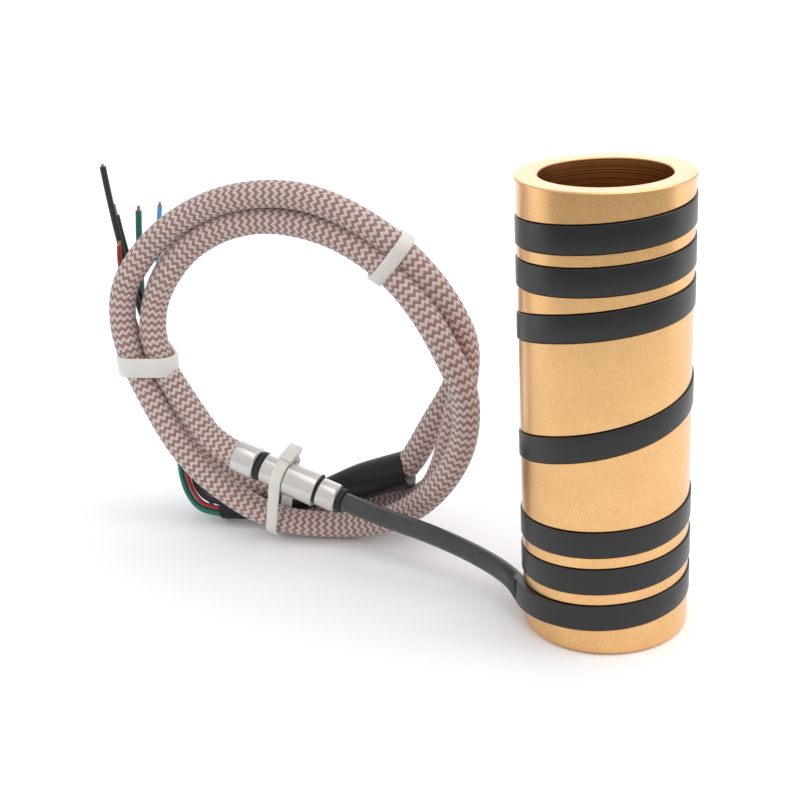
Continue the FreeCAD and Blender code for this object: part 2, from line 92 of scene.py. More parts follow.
@dataclass(frozen=True)
class CoilSize:
    """Flattened heater coil: close turns at both ends and a wide middle."""

    outer_r: float = 13.5
    width: float = 4.2
    thickness: float = 2.2
    corner: float = 0.14
    side_gap: float = 0.15
    floor_gap: float = 0.03
    first_z: float = 6.95
    close_pitch: float = 6.3
    wide_pitch: float = 19.5
    spread: tuple[float, float] = (2.05, 2.35)
    gather: tuple[float, float] = (3.75, 4.1)
    first_turn: float = -0.25
    last_turn: float = 6.45
    groove_first: float = -0.37
    groove_last: float = 6.46
    lift_turn: float = -0.02
    lift_height: float = 1.15

    def z(self, turn: float) -> float:
        """Height of the middle line.

        Args:
            turn: Turns counted from the front of the lowest band.

        Returns:
            The height in millimetres.
        """
        up_len = self.spread[1] - self.spread[0]
        down_len = self.gather[1] - self.gather[0]
        up = min(max(turn - self.spread[0], 0.0), up_len)
        level = min(max(turn - self.spread[1], 0.0), self.gather[0] - self.spread[1])
        down = min(max(turn - self.gather[0], 0.0), down_len)
        wide = up * up / (2 * up_len) + level + down - down * down / (2 * down_len)
        return self.first_z + self.close_pitch * turn + (self.wide_pitch - self.close_pitch) * wide

    def lift(self, turn: float) -> float:
        """How far the coil has climbed out of its groove.

        Args:
            turn: Turns counted from the front of the lowest band.

        Returns:
            The climb away from the axis in millimetres.
        """
        if turn >= self.lift_turn:
            return 0.0
        share = (self.lift_turn - turn) / (self.lift_turn - self.first_turn)
        return self.lift_height * share * share


@dataclass(frozen=True)
class FittingSize:
    """Transition fitting; depths are counted from its front face."""

    front: Vector = field(default_factory=lambda: Vector((-43.8, 26.9, 10.9)))
    axis: Vector = field(default_factory=lambda: Vector((-18.4, 8.0, 6.2)).normalized())
    lead_r: float = 1.7
    seal_r: float = 2.25
    seal_l: float = 1.1
    ferrule_r: float = 2.6
    ferrule_l: float = 3.8
    ring_l: float = 0.5
    ring_r: float = 2.45
    barrel_r: float = 3.1
    barrel_l: float = 6.1
    neck_r: float = 2.8
    neck_l: float = 4.8
    o_ring_l: float = 1.3
    o_ring_r: float = 2.75
    gland_r: float = 3.1
    gland_l: float = 4.5
    socket_l: float = 3.6
    chamber_r: float = 2.3
    front_wall: float = 1.0
    throat_r: float = 1.5
    lead_gap: float = 0.03
    cable_gap: float = 0.05

    @property
    def barrel_at(self) -> float:
        """Depth where the barrel begins."""
        return self.ferrule_l + self.ring_l

    @property
    def neck_at(self) -> float:
        """Depth where the neck begins."""
        return self.barrel_at + self.barrel_l

    @property
    def o_ring_at(self) -> float:
        """Depth where the rear O-ring begins."""
        return self.neck_at + self.neck_l

    @property
    def gland_at(self) -> float:
        """Depth where the cable gland begins."""
        return self.o_ring_at + self.o_ring_l

    @property
    def end(self) -> float:
        """Depth where the fitting ends."""
        return self.gland_at + self.gland_l

    def at(self, depth: float) -> Vector:
        """The point on the axis at a depth behind the front face, in millimetres."""
        return self.front + self.axis * depth


RING_CENTRE = Vector((-50.5, 0.0, 33.5))
CABLE_R = 2.4
FLOOR_GAP = 0.12
TURN_STEP = 12
# Angle about the ring in degrees, distance from its centre and place along Y.
TURN_STATIONS: tuple[tuple[float, float, float], ...] = (
    (-150, 21.0, 38.2), (-171, 23.0, 40.6), (-184, 25.6, 42.0), (-200, 27.3, 43.0),
    (-231, 27.7, 41.8), (-260, 27.3, 37.4), (-276, 26.7, 34.0), (-306, 26.4, 27.1),
    (-332, 26.6, 21.8), (-349, 27.8, 19.1), (-360, 29.5, 18.6), (-380, 30.8, 20.2),
    (-396, 31.2, 22.8), (-410, 32.0, 26.5), (-422, 32.6, 30.4), (-432, 32.2, 33.0),
    (-450, 30.9, 34.8), (-470, 28.8, 35.2), (-480, 27.6, 35.6), (-498, 27.0, 37.0),
    (-514, 26.8, 38.6), (-528, 27.8, 40.6), (-540, 29.8, 42.4), (-553, 32.2, 43.6),
    (-565, 33.6, 44.0), (-585, 32.7, 43.2), (-601, 32.2, 40.8), (-636, 31.7, 33.6),
    (-657, 30.8, 28.6), (-676, 30.4, 25.4), (-692, 30.6, 23.6), (-709, 31.0, 24.0),
    (-720, 29.8, 24.4), (-730, 28.8, 24.8), (-748, 29.8, 27.0), (-762, 33.0, 31.2),
    (-768, 34.4, 33.8), (-776, 34.5, 38.4), (-790, 32.8, 43.8), (-810, 30.9, 46.0),
    (-840, 28.2, 46.6), (-858, 26.4, 46.4), (-874, 25.2, 46.6), (-900, 27.0, 47.8),
    (-930, 27.8, 48.2), (-951, 27.8, 46.8), (-980, 27.4, 42.6), (-1010, 27.8, 36.4),
    (-1036, 28.3, 31.0), (-1052, 28.7, 29.0), (-1069, 29.6, 29.2), (-1080, 30.0, 30.6),
    (-1090, 28.4, 31.8), (-1100, 27.0, 32.8), (-1110, 26.6, 34.0),
)
SHRINK_ROUTE = (Vector((-31.1, 36.0, 12.2)), Vector((-45.0, 39.4, 7.4)),
                Vector((-58.0, 41.0, 2.9)), Vector((-67.0, 44.5, 2.3)))


@dataclass(frozen=True)
class WireRoute:
    """One insulated wire: place round the heat shrink's end, bare length and points."""

    node: str
    conductor: str
    radius: float
    place: float
    bare: float
    points: tuple[tuple[float, float, float], ...]


WIRES = (
    WireRoute("power_wire_a", "power_conductor_a", 0.6, 90, 0.5, (
        (-71.8, 46.7, 4.8), (-73.2, 49.2, 8.4), (-73.0, 51.6, 14.0), (-76.0, 53.8, 24.0),
        (-79.7, 54.8, 36.0), (-82.6, 52.6, 53.8), (-83.6, 51.8, 68.2))),
    WireRoute("power_wire_b", "power_conductor_b", 0.6, 18, 2.2, (
        (-70.9, 47.9, 4.2), (-72.0, 50.6, 8.2), (-71.6, 53.2, 13.6), (-74.6, 55.2, 24.0),
        (-78.3, 55.8, 36.0), (-81.7, 54.4, 49.5), (-82.6, 53.9, 58.6))),
    WireRoute("ground_wire", "ground_conductor", 0.6, 234, 1.0, (
        (-72.6, 46.0, 2.2), (-75.0, 48.6, 6.0), (-75.6, 51.6, 11.6), (-79.2, 54.4, 22.0),
        (-80.2, 56.8, 34.0), (-79.8, 55.6, 48.0), (-78.4, 53.8, 59.2))),
    WireRoute("thermocouple_wire_plus", "thermocouple_conductor_plus", 0.45, 162, 1.0, (
        (-72.0, 45.4, 3.8), (-74.0, 47.8, 7.6), (-74.2, 50.4, 12.6), (-77.6, 53.2, 23.5),
        (-81.2, 54.4, 35.0), (-83.0, 51.4, 49.0), (-82.1, 50.5, 53.6))),
    WireRoute("thermocouple_wire_minus", "thermocouple_conductor_minus", 0.45, 306, 0.6, (
        (-70.2, 47.6, 2.2), (-70.2, 53.4, 7.0), (-73.8, 56.6, 20.0), (-78.0, 57.2, 34.0),
        (-76.0, 54.4, 49.0), (-74.3, 53.4, 60.2))),
)


# Curves and meshes


def smooth_route(points: Sequence[Vector], spacing: float) -> list[Vector]:
    """A quadratic B-spline through control points, resampled at even distances.

    Args:
        points: Control points; the curve starts at the first and ends at the last.
        spacing: Distance between the points that are returned.

    Returns:
        Points along the curve.
    """
    dense = [points[0].copy()]
    last = len(points) - 2
    for i in range(1, last + 1):
        a = points[0] if i == 1 else (points[i - 1] + points[i]) / 2
        b = points[-1] if i == last else (points[i] + points[i + 1]) / 2
        for k in range(1, 25):
            s = k / 24
            dense.append(a * (1 - s) ** 2 + points[i] * (2 * s * (1 - s)) + b * s * s)
    return resample(dense, spacing)


def resample(points: Sequence[Vector], spacing: float) -> list[Vector]:
    """Points at even distances along a polyline, ends included.

    Args:
        points: The polyline's corners.
        spacing: Distance between the points that are returned, about.

    Returns:
        The points, with the polyline's first and last corner.
    """
    lengths = [0.0]
    for a, b in zip(points, points[1:]):
        lengths.append(lengths[-1] + (b - a).length)
    count = max(2, round(lengths[-1] / spacing))
    result, k = [], 0
    for i in range(count + 1):
        target = lengths[-1] * i / count
        while k < len(points) - 2 and lengths[k + 1] < target:
            k += 1
        span = lengths[k + 1] - lengths[k]
        share = 0.0 if span == 0 else (target - lengths[k]) / span
        result.append(points[k].lerp(points[k + 1], min(max(share, 0.0), 1.0)))
    return result


def tangents(points: Sequence[Vector]) -> list[Vector]:
    """Unit directions along a polyline.

    Args:
        points: The polyline's corners.

    Returns:
        One direction per corner.
    """
    result = []
    for i in range(len(points)):
        a = points[max(i - 1, 0)]
        b = points[min(i + 1, len(points) - 1)]
        result.append((b - a).normalized())
    return result


@dataclass
class Station:
    """A cross-section's place: its centre and its two directions."""

    centre: Vector
    side: Vector
    up: Vector


def carried_stations(points: Sequence[Vector], first_side: Vector) -> list[Station]:
    """Stations along a route that turn as little as possible.

    Args:
        points: The route.
        first_side: Direction of the section's first axis at the start.

    Returns:
        One station per point.
    """
    result: list[Station] = []
    side = first_side
    for point, along in zip(points, tangents(points)):
        side = (side - along * side.dot(along)).normalized()
        result.append(Station(point, side, along.cross(side)))
    return result


Section = list[tuple[float, float]]
Value = float | bpy.types.NodeSocket
Colour = tuple[float, float, float]


def round_section(radius: float, count: int) -> Section:
    """A circle as (side, up) pairs."""
    return [(radius * math.cos(2 * math.pi * i / count), radius * math.sin(2 * math.pi * i / count))
            for i in range(count)]


def soft_rectangle(half_a: float, half_b: float, corner: float, count: int) -> Section:
    """A rectangle with rounded corners; its points sit where a circle's would.

    Args:
        half_a: Half its size along the section's side direction.
        half_b: Half its size along the section's up direction.
        corner: Radius of the corners.
        count: Number of points, a multiple of four.

    Returns:
        The section as (side, up) pairs.
    """
    result = []
    steps = count // 4
    for quarter in range(4):
        sign_a = 1 if quarter in (0, 3) else -1
        sign_b = 1 if quarter in (0, 1) else -1
        ca, cb = sign_a * (half_a - corner), sign_b * (half_b - corner)
        for i in range(steps):
            a = math.pi / 2 * (quarter + (i + 0.5) / steps)
            result.append((ca + corner * math.cos(a), cb + corner * math.sin(a)))
    return result


class MeshBuilder:
    """Collects faces in a bmesh and makes an object of them."""

    def __init__(self) -> None:
        """Starts an empty mesh with a UV map along and round a sweep."""
        self.bm = bmesh.new()
        self.uv = self.bm.loops.layers.uv.new("weave")

    def sweep(self, stations: Sequence[Station], sections: Sequence[Section],
              caps: bool = True) -> None:
        """Joins sections along stations with a grid of faces.

        Args:
            stations: Where the sections stand, in millimetres.
            sections: One closed section per station, all with as many points.
            caps: Whether both ends are closed.
        """
        rows = []
        for station, section in zip(stations, sections):
            rows.append([self.bm.verts.new((station.centre + station.side * a + station.up * b)
                                           * MM) for a, b in section])
        along = [0.0]
        for a, b in zip(stations, stations[1:]):
            along.append(along[-1] + (b.centre - a.centre).length * MM)
        count = len(rows[0])
        for i in range(len(rows) - 1):
            for k in range(count):
                n = (k + 1) % count
                face = self.bm.faces.new((rows[i][k], rows[i][n], rows[i + 1][n], rows[i + 1][k]))
                face.smooth = True
                v0, v1 = k / count, (k + 1) / count
                marks = ((along[i], v0), (along[i], v1), (along[i + 1], v1), (along[i + 1], v0))
                for loop, mark in zip(face.loops, marks):
                    loop[self.uv].uv = mark
        if caps:
            self.bm.faces.new(list(reversed(rows[0])))
            self.bm.faces.new(rows[-1])

    def lathe(self, profile: Sequence[tuple[float, float]], frame: Matrix, count: int = 96,
              closed: bool = True) -> None:
        """Turns a profile of (radius, height) about Z in an empty mesh, then places it.

        Args:
            profile: Corners in millimetres.
            frame: Placement of the turned shape, in millimetres.
            count: Steps round the axis.
            closed: Whether the profile's last corner joins its first.
        """
        corners = [self.bm.verts.new((r * MM, 0.0, z * MM)) for r, z in profile]
        pairs = list(zip(corners, corners[1:]))
        if closed:
            pairs.append((corners[-1], corners[0]))
        edges = [self.bm.edges.new(pair) for pair in pairs]
        bmesh.ops.spin(self.bm, geom=corners + edges, cent=(0, 0, 0), axis=(0, 0, 1),
                       dvec=(0, 0, 0), angle=2 * math.pi, steps=count, use_merge=True)
        placed = frame.copy()
        placed.translation = frame.translation * MM
        bmesh.ops.transform(self.bm, matrix=placed, verts=self.bm.verts)

    def grid(self, rows: Sequence[Sequence[Vector]], smooth: bool = True) -> None:
        """Joins rows of points into an open surface.

        Args:
            rows: Rows with as many points each, in millimetres.
            smooth: Whether its faces are shaded smooth.
        """
        made = [[self.bm.verts.new(p * MM) for p in row] for row in rows]
        for low, high in zip(made, made[1:]):
            for a, b, c, d in zip(low, low[1:], high[1:], high):
                self.bm.faces.new((a, b, c, d)).smooth = smooth

    def box(self, centre: Vector, axes: Sequence[Vector], sizes: Sequence[float]) -> None:
        """Adds a box with its own directions.

        Args:
            centre: Its middle, in millimetres.
            axes: Its three directions.
            sizes: Its length along each of them, in millimetres.
        """
        matrix = Matrix.Identity(4)
        for i, (axis, size) in enumerate(zip(axes, sizes)):
            for row in range(3):
                matrix[row][i] = axis[row] * size * MM
        matrix.translation = centre * MM
        bmesh.ops.create_cube(self.bm, size=1.0, matrix=matrix)

    def weld(self, distance: float = 0.0005) -> None:
        """Joins vertices that lie on each other and turns the faces outwards."""
        bmesh.ops.remove_doubles(self.bm, verts=self.bm.verts, dist=distance * MM)
        bmesh.ops.recalc_face_normals(self.bm, faces=self.bm.faces)

    def bevel_sharp(self, width: float, segments: int = 2, angle: float = 30.0) -> None:
        """Rounds the sharp edges.

        Args:
            width: Width of the rounding, in millimetres.
            segments: Steps across the rounding.
            angle: The turn in degrees past which an edge counts as sharp.
        """
        sharp = [e for e in self.bm.edges
                 if len(e.link_faces) == 2 and e.calc_face_angle(0) > math.radians(angle)]
        bmesh.ops.bevel(self.bm, geom=sharp, offset=width * MM, segments=segments,
                        profile=0.5, affect="EDGES", clamp_overlap=True, material=-1)

    def finish(self, name: str, material: bpy.types.Material, split: float = 40.0
               ) -> bpy.types.Object:
        """Makes the object, smooth except at its sharp edges.

        Args:
            name: Name of the object and its mesh.
            material: The one material that it carries.
            split: The turn in degrees past which an edge stays sharp.

        Returns:
            The object, linked to the scene.
        """
        bmesh.ops.recalc_face_normals(self.bm, faces=self.bm.faces)
        for face in self.bm.faces:
            face.smooth = True
        for edge in self.bm.edges:
            if len(edge.link_faces) == 2:
                edge.smooth = edge.calc_face_angle(0) < math.radians(split)
        mesh = bpy.data.meshes.new(name)
        self.bm.to_mesh(mesh)
        self.bm.free()
        mesh.materials.append(material)
        obj = bpy.data.objects.new(name, mesh)
        bpy.context.scene.collection.objects.link(obj)
        return obj


# Materials


class Slot(Enum):
    """Material slots of the record."""

    BRASS = "brass"
    COIL = "coil_sheath"
    STEEL = "fitting_steel"
    SEAL = "black_seal"
    BRAID = "fibreglass_braid"
    PIN = "pin_nickel"
    CRIMP = "crimp_copper"
    CERAMIC = "ceramic"
    POTTING = "potting"
    SHRINK = "heat_shrink"
    BLACK_WIRE = "black_wire"
    GREEN_WIRE = "green_wire"
    RED_WIRE = "red_wire"
    BLUE_WIRE = "blue_wire"
    BARE = "bare_conductor"
    TIE = "tie_nylon"


@dataclass(frozen=True)
class Finish:
    """How a surface looks, in scene-linear colour."""

    colour: Colour
    roughness: float
    metallic: float = 0.0
    mottle: float = 0.0
    mottle_scale: float = 900.0
    bump: float = 0.0
    bump_scale: float = 4000.0
    ior: float = 1.5
    subsurface: float = 0.0


FINISHES: dict[Slot, Finish] = {
    Slot.COIL: Finish((0.008, 0.008, 0.008), 0.34, 0.0, 0.25, 700, 0.012, 5000),
    Slot.STEEL: Finish((0.65, 0.63, 0.60), 0.32, 1.0, 0.06, 600, 0.01, 3000),
    Slot.SEAL: Finish((0.005, 0.005, 0.005), 0.55, 0.0, 0.1),
    Slot.PIN: Finish((0.5, 0.48, 0.45), 0.3, 1.0),
    Slot.CRIMP: Finish((0.72, 0.42, 0.28), 0.35, 1.0),
    Slot.CERAMIC: Finish((0.85, 0.82, 0.76), 0.3),
    Slot.POTTING: Finish((0.35, 0.30, 0.25), 0.6),
    Slot.SHRINK: Finish((0.005, 0.005, 0.006), 0.45, 0.0, 0.15, 500, 0.05, 900, 1.42),
    Slot.BLACK_WIRE: Finish((0.012, 0.014, 0.014), 0.4),
    Slot.GREEN_WIRE: Finish((0.01, 0.16, 0.11), 0.4),
    Slot.RED_WIRE: Finish((0.30, 0.015, 0.02), 0.4),
    Slot.BLUE_WIRE: Finish((0.10, 0.36, 0.80), 0.4),
    Slot.BARE: Finish((0.45, 0.27, 0.14), 0.35, 1.0),
    Slot.TIE: Finish((0.73, 0.71, 0.67), 0.35, 0.0, 0.03, 400, 0.0, 900, 1.53, 0.35),
}


@dataclass(frozen=True)
class BrassFinish:
    """Turned brass: scene-linear colours, lengths in millimetres, noise scales per metre."""

    dark: Colour = (0.80, 0.465, 0.195)
    light: Colour = (0.86, 0.515, 0.225)
    # Painted shade: the bore's wall takes this darker colour instead of the brass ramp.
    bore: Colour = (0.60, 0.30, 0.11)
    roughness: float = 0.34
    coat: float = 0.4
    coat_roughness: float = 0.1
    ring_scale: float = 4500.0
    grain_scale: float = 3600.0
    grain_share: float = 1.2
    mottle_scale: float = 160.0
    relief: float = 0.006
    # Radii over which the bore's painted shade fades in.
    bore_shade_ends_r: float = 10.25
    bore_shade_starts_r: float = 10.05


@dataclass(frozen=True)
class BraidFinish:
    """Braided fibreglass: two yarns in herringbone rows, lengths in millimetres."""

    pale: tuple[Colour, Colour] = ((0.54, 0.45, 0.425), (0.76, 0.66, 0.63))
    maroon: tuple[Colour, Colour] = ((0.24, 0.115, 0.10), (0.42, 0.235, 0.21))
    roughness: float = 0.75
    sheen: float = 0.2
    columns: float = 12.0
    tooth: float = 0.9
    row_pitch: float = 1.45
    wobble: float = 0.35
    wobble_scale: float = 350.0
    thread_scale: float = 5200.0
    soft_edge: float = 0.35
    relief: float = 0.16


class Paint:
    """Makes the materials, one per slot."""

    BRASS = BrassFinish()
    BRAID = BraidFinish()
    LEAD_FROM_X, LEAD_TO_X = -14.4, -16.5
    LEAD_LIGHTER = 5.4

    def __init__(self) -> None:
        """Starts with no material made and the shared group in place."""
        self.made: dict[Slot, bpy.types.Material] = {}
        self.surface_group = self._surface_group()

    def of(self, slot: Slot) -> bpy.types.Material:
        """The material of a slot, made on first use.

        Args:
            slot: The slot of the record.

        Returns:
            Its material.
        """
        if slot not in self.made:
            if slot is Slot.BRASS:
                self.made[slot] = self._brass()
            elif slot is Slot.BRAID:
                self.made[slot] = self._braid()
            elif slot is Slot.COIL:
                self.made[slot] = self._coil()
            else:
                self.made[slot] = self._plain(slot, FINISHES[slot])
        return self.made[slot]

    @staticmethod
    def _surface_group() -> bpy.types.ShaderNodeTree:
        """Shared small variation of a surface.

        Returns:
            A node group with a factor for the colour and a height for the bump.
        """
        tree = bpy.data.node_groups.new("small_variation", "ShaderNodeTree")
        for name, kind, low in (("Vector", "NodeSocketVector", None),
                                ("Mottle scale", "NodeSocketFloat", 900.0),
                                ("Grain scale", "NodeSocketFloat", 4000.0)):
            socket = tree.interface.new_socket(name, in_out="INPUT", socket_type=kind)
            if low is not None:
                socket.default_value = low
        tree.interface.new_socket("Mottle", in_out="OUTPUT", socket_type="NodeSocketFloat")
        tree.interface.new_socket("Grain", in_out="OUTPUT", socket_type="NodeSocketFloat")
        nodes, links = tree.nodes, tree.links
        enter = nodes.new("NodeGroupInput")
        leave = nodes.new("NodeGroupOutput")
        for name, scale, detail in (("Mottle", "Mottle scale", 3.0), ("Grain", "Grain scale", 2.0)):
            noise = nodes.new("ShaderNodeTexNoise")
            noise.inputs["Detail"].default_value = detail
            links.new(enter.outputs["Vector"], noise.inputs["Vector"])
            links.new(enter.outputs[scale], noise.inputs["Scale"])
            links.new(noise.outputs["Fac"], leave.inputs[name])
        return tree

    @staticmethod
    def _new(name: str) -> tuple[bpy.types.Material, bpy.types.NodeTree, bpy.types.Node]:
        """A new material.

        Args:
            name: Its name.

        Returns:
            The material, its node tree and its Principled shader.
        """
        material = bpy.data.materials.new(name)
        material.use_nodes = True
        tree = material.node_tree
        return material, tree, tree.nodes["Principled BSDF"]

    @staticmethod
    def _varied(tree: bpy.types.NodeTree, source: bpy.types.NodeSocket,
                wide: tuple[float, float], factors: tuple[float, float]) -> bpy.types.Node:
        """Scales a colour by a factor that follows a value.

        Args:
            tree: The material's node tree.
            source: The socket that gives the value.
            wide: The two values between which the factor changes.
            factors: The factor at each of them.

        Returns:
            The scaling node, whose first input takes the colour.
        """
        spread = tree.nodes.new("ShaderNodeMapRange")
        for name, value in zip(("From Min", "From Max", "To Min", "To Max"), (*wide, *factors)):
            spread.inputs[name].default_value = value
        tree.links.new(source, spread.inputs["Value"])
        scale = tree.nodes.new("ShaderNodeVectorMath")
        scale.operation = "SCALE"
        tree.links.new(spread.outputs["Result"], scale.inputs["Scale"])
        return scale

    def _coil(self) -> bpy.types.Material:
        """The coil's dark sheath, lighter where it runs on as the round lead.

        Returns:
            The material.
        """
        material = self._plain(Slot.COIL, FINISHES[Slot.COIL])
        tree = material.node_tree
        base = tree.nodes["Principled BSDF"].inputs["Base Color"]
        plain = base.links[0].from_socket
        where = tree.nodes.new("ShaderNodeTexCoord")
        split = tree.nodes.new("ShaderNodeSeparateXYZ")
        tree.links.new(where.outputs["Object"], split.inputs["Vector"])
        lead = self._varied(tree, split.outputs["X"],
                            (self.LEAD_FROM_X * MM, self.LEAD_TO_X * MM),
                            (1.0, self.LEAD_LIGHTER))
        tree.links.new(plain, lead.inputs[0])
        tree.links.new(lead.outputs["Vector"], base)
        return material

    def _plain(self, slot: Slot, finish: Finish) -> bpy.types.Material:
        """A material of one colour with small variation.

        Args:
            slot: The slot that names it.
            finish: Its colour, gloss and variation.

        Returns:
            The material.
        """
        material, tree, shader = self._new(slot.value)
        shader.inputs["Roughness"].default_value = finish.roughness
        shader.inputs["Metallic"].default_value = finish.metallic
        shader.inputs["IOR"].default_value = finish.ior
        shader.inputs["Base Color"].default_value = (*finish.colour, 1.0)
        if finish.subsurface:
            shader.inputs["Subsurface Weight"].default_value = finish.subsurface
            shader.inputs["Subsurface Radius"].default_value = (0.0014, 0.0012, 0.001)
            shader.inputs["Subsurface Scale"].default_value = 1.0
        where = tree.nodes.new("ShaderNodeTexCoord")
        group = tree.nodes.new("ShaderNodeGroup")
        group.node_tree = self.surface_group
        group.inputs["Mottle scale"].default_value = finish.mottle_scale
        group.inputs["Grain scale"].default_value = finish.bump_scale
        tree.links.new(where.outputs["Object"], group.inputs["Vector"])
        if finish.mottle:
            mix = tree.nodes.new("ShaderNodeMapRange")
            mix.inputs["To Min"].default_value = 1.0 - finish.mottle
            mix.inputs["To Max"].default_value = 1.0 + finish.mottle
            tree.links.new(group.outputs["Mottle"], mix.inputs["Value"])
            scale = tree.nodes.new("ShaderNodeVectorMath")
            scale.operation = "SCALE"
            scale.inputs[0].default_value = finish.colour
            tree.links.new(mix.outputs["Result"], scale.inputs["Scale"])
            tree.links.new(scale.outputs["Vector"], shader.inputs["Base Color"])
        if finish.bump:
            bump = tree.nodes.new("ShaderNodeBump")
            bump.inputs["Strength"].default_value = 1.0
            bump.inputs["Distance"].default_value = finish.bump * MM
            tree.links.new(group.outputs["Grain"], bump.inputs["Height"])
            tree.links.new(bump.outputs["Normal"], shader.inputs["Normal"])
        return material

    def _brass(self) -> bpy.types.Material:
        """Turned brass: fine rings round Z and grain over a soft mottle, with painted shade in the
        bore.

        Returns:
            The material.
        """
        look = self.BRASS
        material, tree, shader = self._new(Slot.BRASS.value)
        shader.inputs["Metallic"].default_value = 1.0
        shader.inputs["Roughness"].default_value = look.roughness
        shader.inputs["Coat Weight"].default_value = look.coat
        shader.inputs["Coat Roughness"].default_value = look.coat_roughness
        where = tree.nodes.new("ShaderNodeTexCoord")
        split = tree.nodes.new("ShaderNodeSeparateXYZ")
        tree.links.new(where.outputs["Object"], split.inputs["Vector"])
        rings = tree.nodes.new("ShaderNodeTexNoise")
        rings.noise_dimensions = "1D"
        rings.inputs["Scale"].default_value = look.ring_scale
        rings.inputs["Detail"].default_value = 3.0
        tree.links.new(split.outputs["Z"], rings.inputs["W"])
        bump = tree.nodes.new("ShaderNodeBump")
        bump.inputs["Strength"].default_value = 1.0
        bump.inputs["Distance"].default_value = look.relief * MM
        tree.links.new(bump.outputs["Normal"], shader.inputs["Normal"])
        group = tree.nodes.new("ShaderNodeGroup")
        group.node_tree = self.surface_group
        group.inputs["Mottle scale"].default_value = look.mottle_scale
        group.inputs["Grain scale"].default_value = look.grain_scale
        tree.links.new(where.outputs["Object"], group.inputs["Vector"])
        rough = tree.nodes.new("ShaderNodeMath")
        rough.operation = "MULTIPLY_ADD"
        rough.inputs[1].default_value = look.grain_share
        tree.links.new(group.outputs["Grain"], rough.inputs[0])
        tree.links.new(rings.outputs["Fac"], rough.inputs[2])
        tree.links.new(rough.outputs["Value"], bump.inputs["Height"])
        ramp = tree.nodes.new("ShaderNodeValToRGB")
        ramp.color_ramp.elements[0].position = 0.3
        ramp.color_ramp.elements[0].color = (*look.dark, 1)
        ramp.color_ramp.elements[1].position = 0.7
        ramp.color_ramp.elements[1].color = (*look.light, 1)
        tree.links.new(group.outputs["Mottle"], ramp.inputs["Fac"])
        length = tree.nodes.new("ShaderNodeVectorMath")
        length.operation = "LENGTH"
        flat = tree.nodes.new("ShaderNodeVectorMath")
        flat.operation = "MULTIPLY"
        flat.inputs[1].default_value = (1.0, 1.0, 0.0)
        tree.links.new(where.outputs["Object"], flat.inputs[0])
        tree.links.new(flat.outputs["Vector"], length.inputs[0])
        # Painted shade in the bore: a darker, streaked colour replaces the brass inside the bore's
        # radius.
        bore_shade_mask = tree.nodes.new("ShaderNodeMapRange")
        bore_shade_mask.inputs["From Min"].default_value = look.bore_shade_ends_r * MM
        bore_shade_mask.inputs["From Max"].default_value = look.bore_shade_starts_r * MM
        tree.links.new(length.outputs["Value"], bore_shade_mask.inputs["Value"])
        speckle = self._varied(tree, group.outputs["Grain"], (0.3, 0.7), (0.90, 1.06))
        tree.links.new(ramp.outputs["Color"], speckle.inputs[0])
        streaked_bore_shade = self._varied(tree, rings.outputs["Fac"], (0.35, 0.65), (0.55, 1.35))
        streaked_bore_shade.inputs[0].default_value = look.bore
        bore = tree.nodes.new("ShaderNodeMix")
        bore.data_type = "RGBA"
        tree.links.new(bore_shade_mask.outputs["Result"], bore.inputs["Factor"])
        tree.links.new(speckle.outputs["Vector"], bore.inputs["A"])
        tree.links.new(streaked_bore_shade.outputs["Vector"], bore.inputs["B"])
        tree.links.new(bore.outputs["Result"], shader.inputs["Base Color"])
        return material

    def _braid(self) -> bpy.types.Material:
        """Braided fibreglass: herringbone rows of pale and maroon yarn, from the weave UV.

        U runs along the lead in metres and V once round it.

        Returns:
            The material.
        """
        look = self.BRAID
        material, tree, shader = self._new(Slot.BRAID.value)
        nodes, links = tree.nodes, tree.links
        shader.inputs["Roughness"].default_value = look.roughness
        shader.inputs["Sheen Weight"].default_value = look.sheen

        def math_node(operation: str, a: Value, b: Value | None = None) -> bpy.types.NodeSocket:
            """Adds a Math node.

            Args:
                operation: What it works out.
                a: Its first value, a number or a socket.
                b: Its second value, where it has one.

            Returns:
                The socket that gives the result.
            """
            node = nodes.new("ShaderNodeMath")
            node.operation = operation
            for socket, value in zip(node.inputs, (a, b)):
                if isinstance(value, (int, float)):
                    socket.default_value = value
                elif value is not None:
                    links.new(value, socket)
            return node.outputs[0]

        mark = nodes.new("ShaderNodeUVMap")
        mark.uv_map = "weave"
        split = nodes.new("ShaderNodeSeparateXYZ")
        links.new(mark.outputs["UV"], split.inputs["Vector"])
        u, v = split.outputs["X"], split.outputs["Y"]
        jitter = nodes.new("ShaderNodeTexNoise")
        jitter.inputs["Scale"].default_value = look.wobble_scale
        where = nodes.new("ShaderNodeTexCoord")
        links.new(where.outputs["Object"], jitter.inputs["Vector"])
        wobble = math_node("MULTIPLY", math_node("SUBTRACT", jitter.outputs["Fac"], 0.5),
                           look.wobble)
        columns = math_node("MULTIPLY", v, look.columns)
        tooth = math_node("PINGPONG", columns, 0.5)
        rows = math_node("ADD", math_node("DIVIDE", u, look.row_pitch * MM),
                         math_node("MULTIPLY", tooth, look.tooth))
        rows = math_node("ADD", rows, wobble)
        wave = math_node("SINE", math_node("MULTIPLY", rows, 2 * math.pi))
        band = nodes.new("ShaderNodeMapRange")
        band.interpolation_type = "SMOOTHSTEP"
        band.inputs["From Min"].default_value = -look.soft_edge
        band.inputs["From Max"].default_value = look.soft_edge
        links.new(wave, band.inputs["Value"])
        threads = nodes.new("ShaderNodeTexNoise")
        threads.inputs["Scale"].default_value = look.thread_scale
        threads.inputs["Detail"].default_value = 2.0
        links.new(where.outputs["Object"], threads.inputs["Vector"])
        colour = nodes.new("ShaderNodeMix")
        colour.data_type = "RGBA"
        links.new(band.outputs["Result"], colour.inputs["Factor"])
        for end, (first, second) in (("A", look.maroon), ("B", look.pale)):
            yarn = nodes.new("ShaderNodeMix")
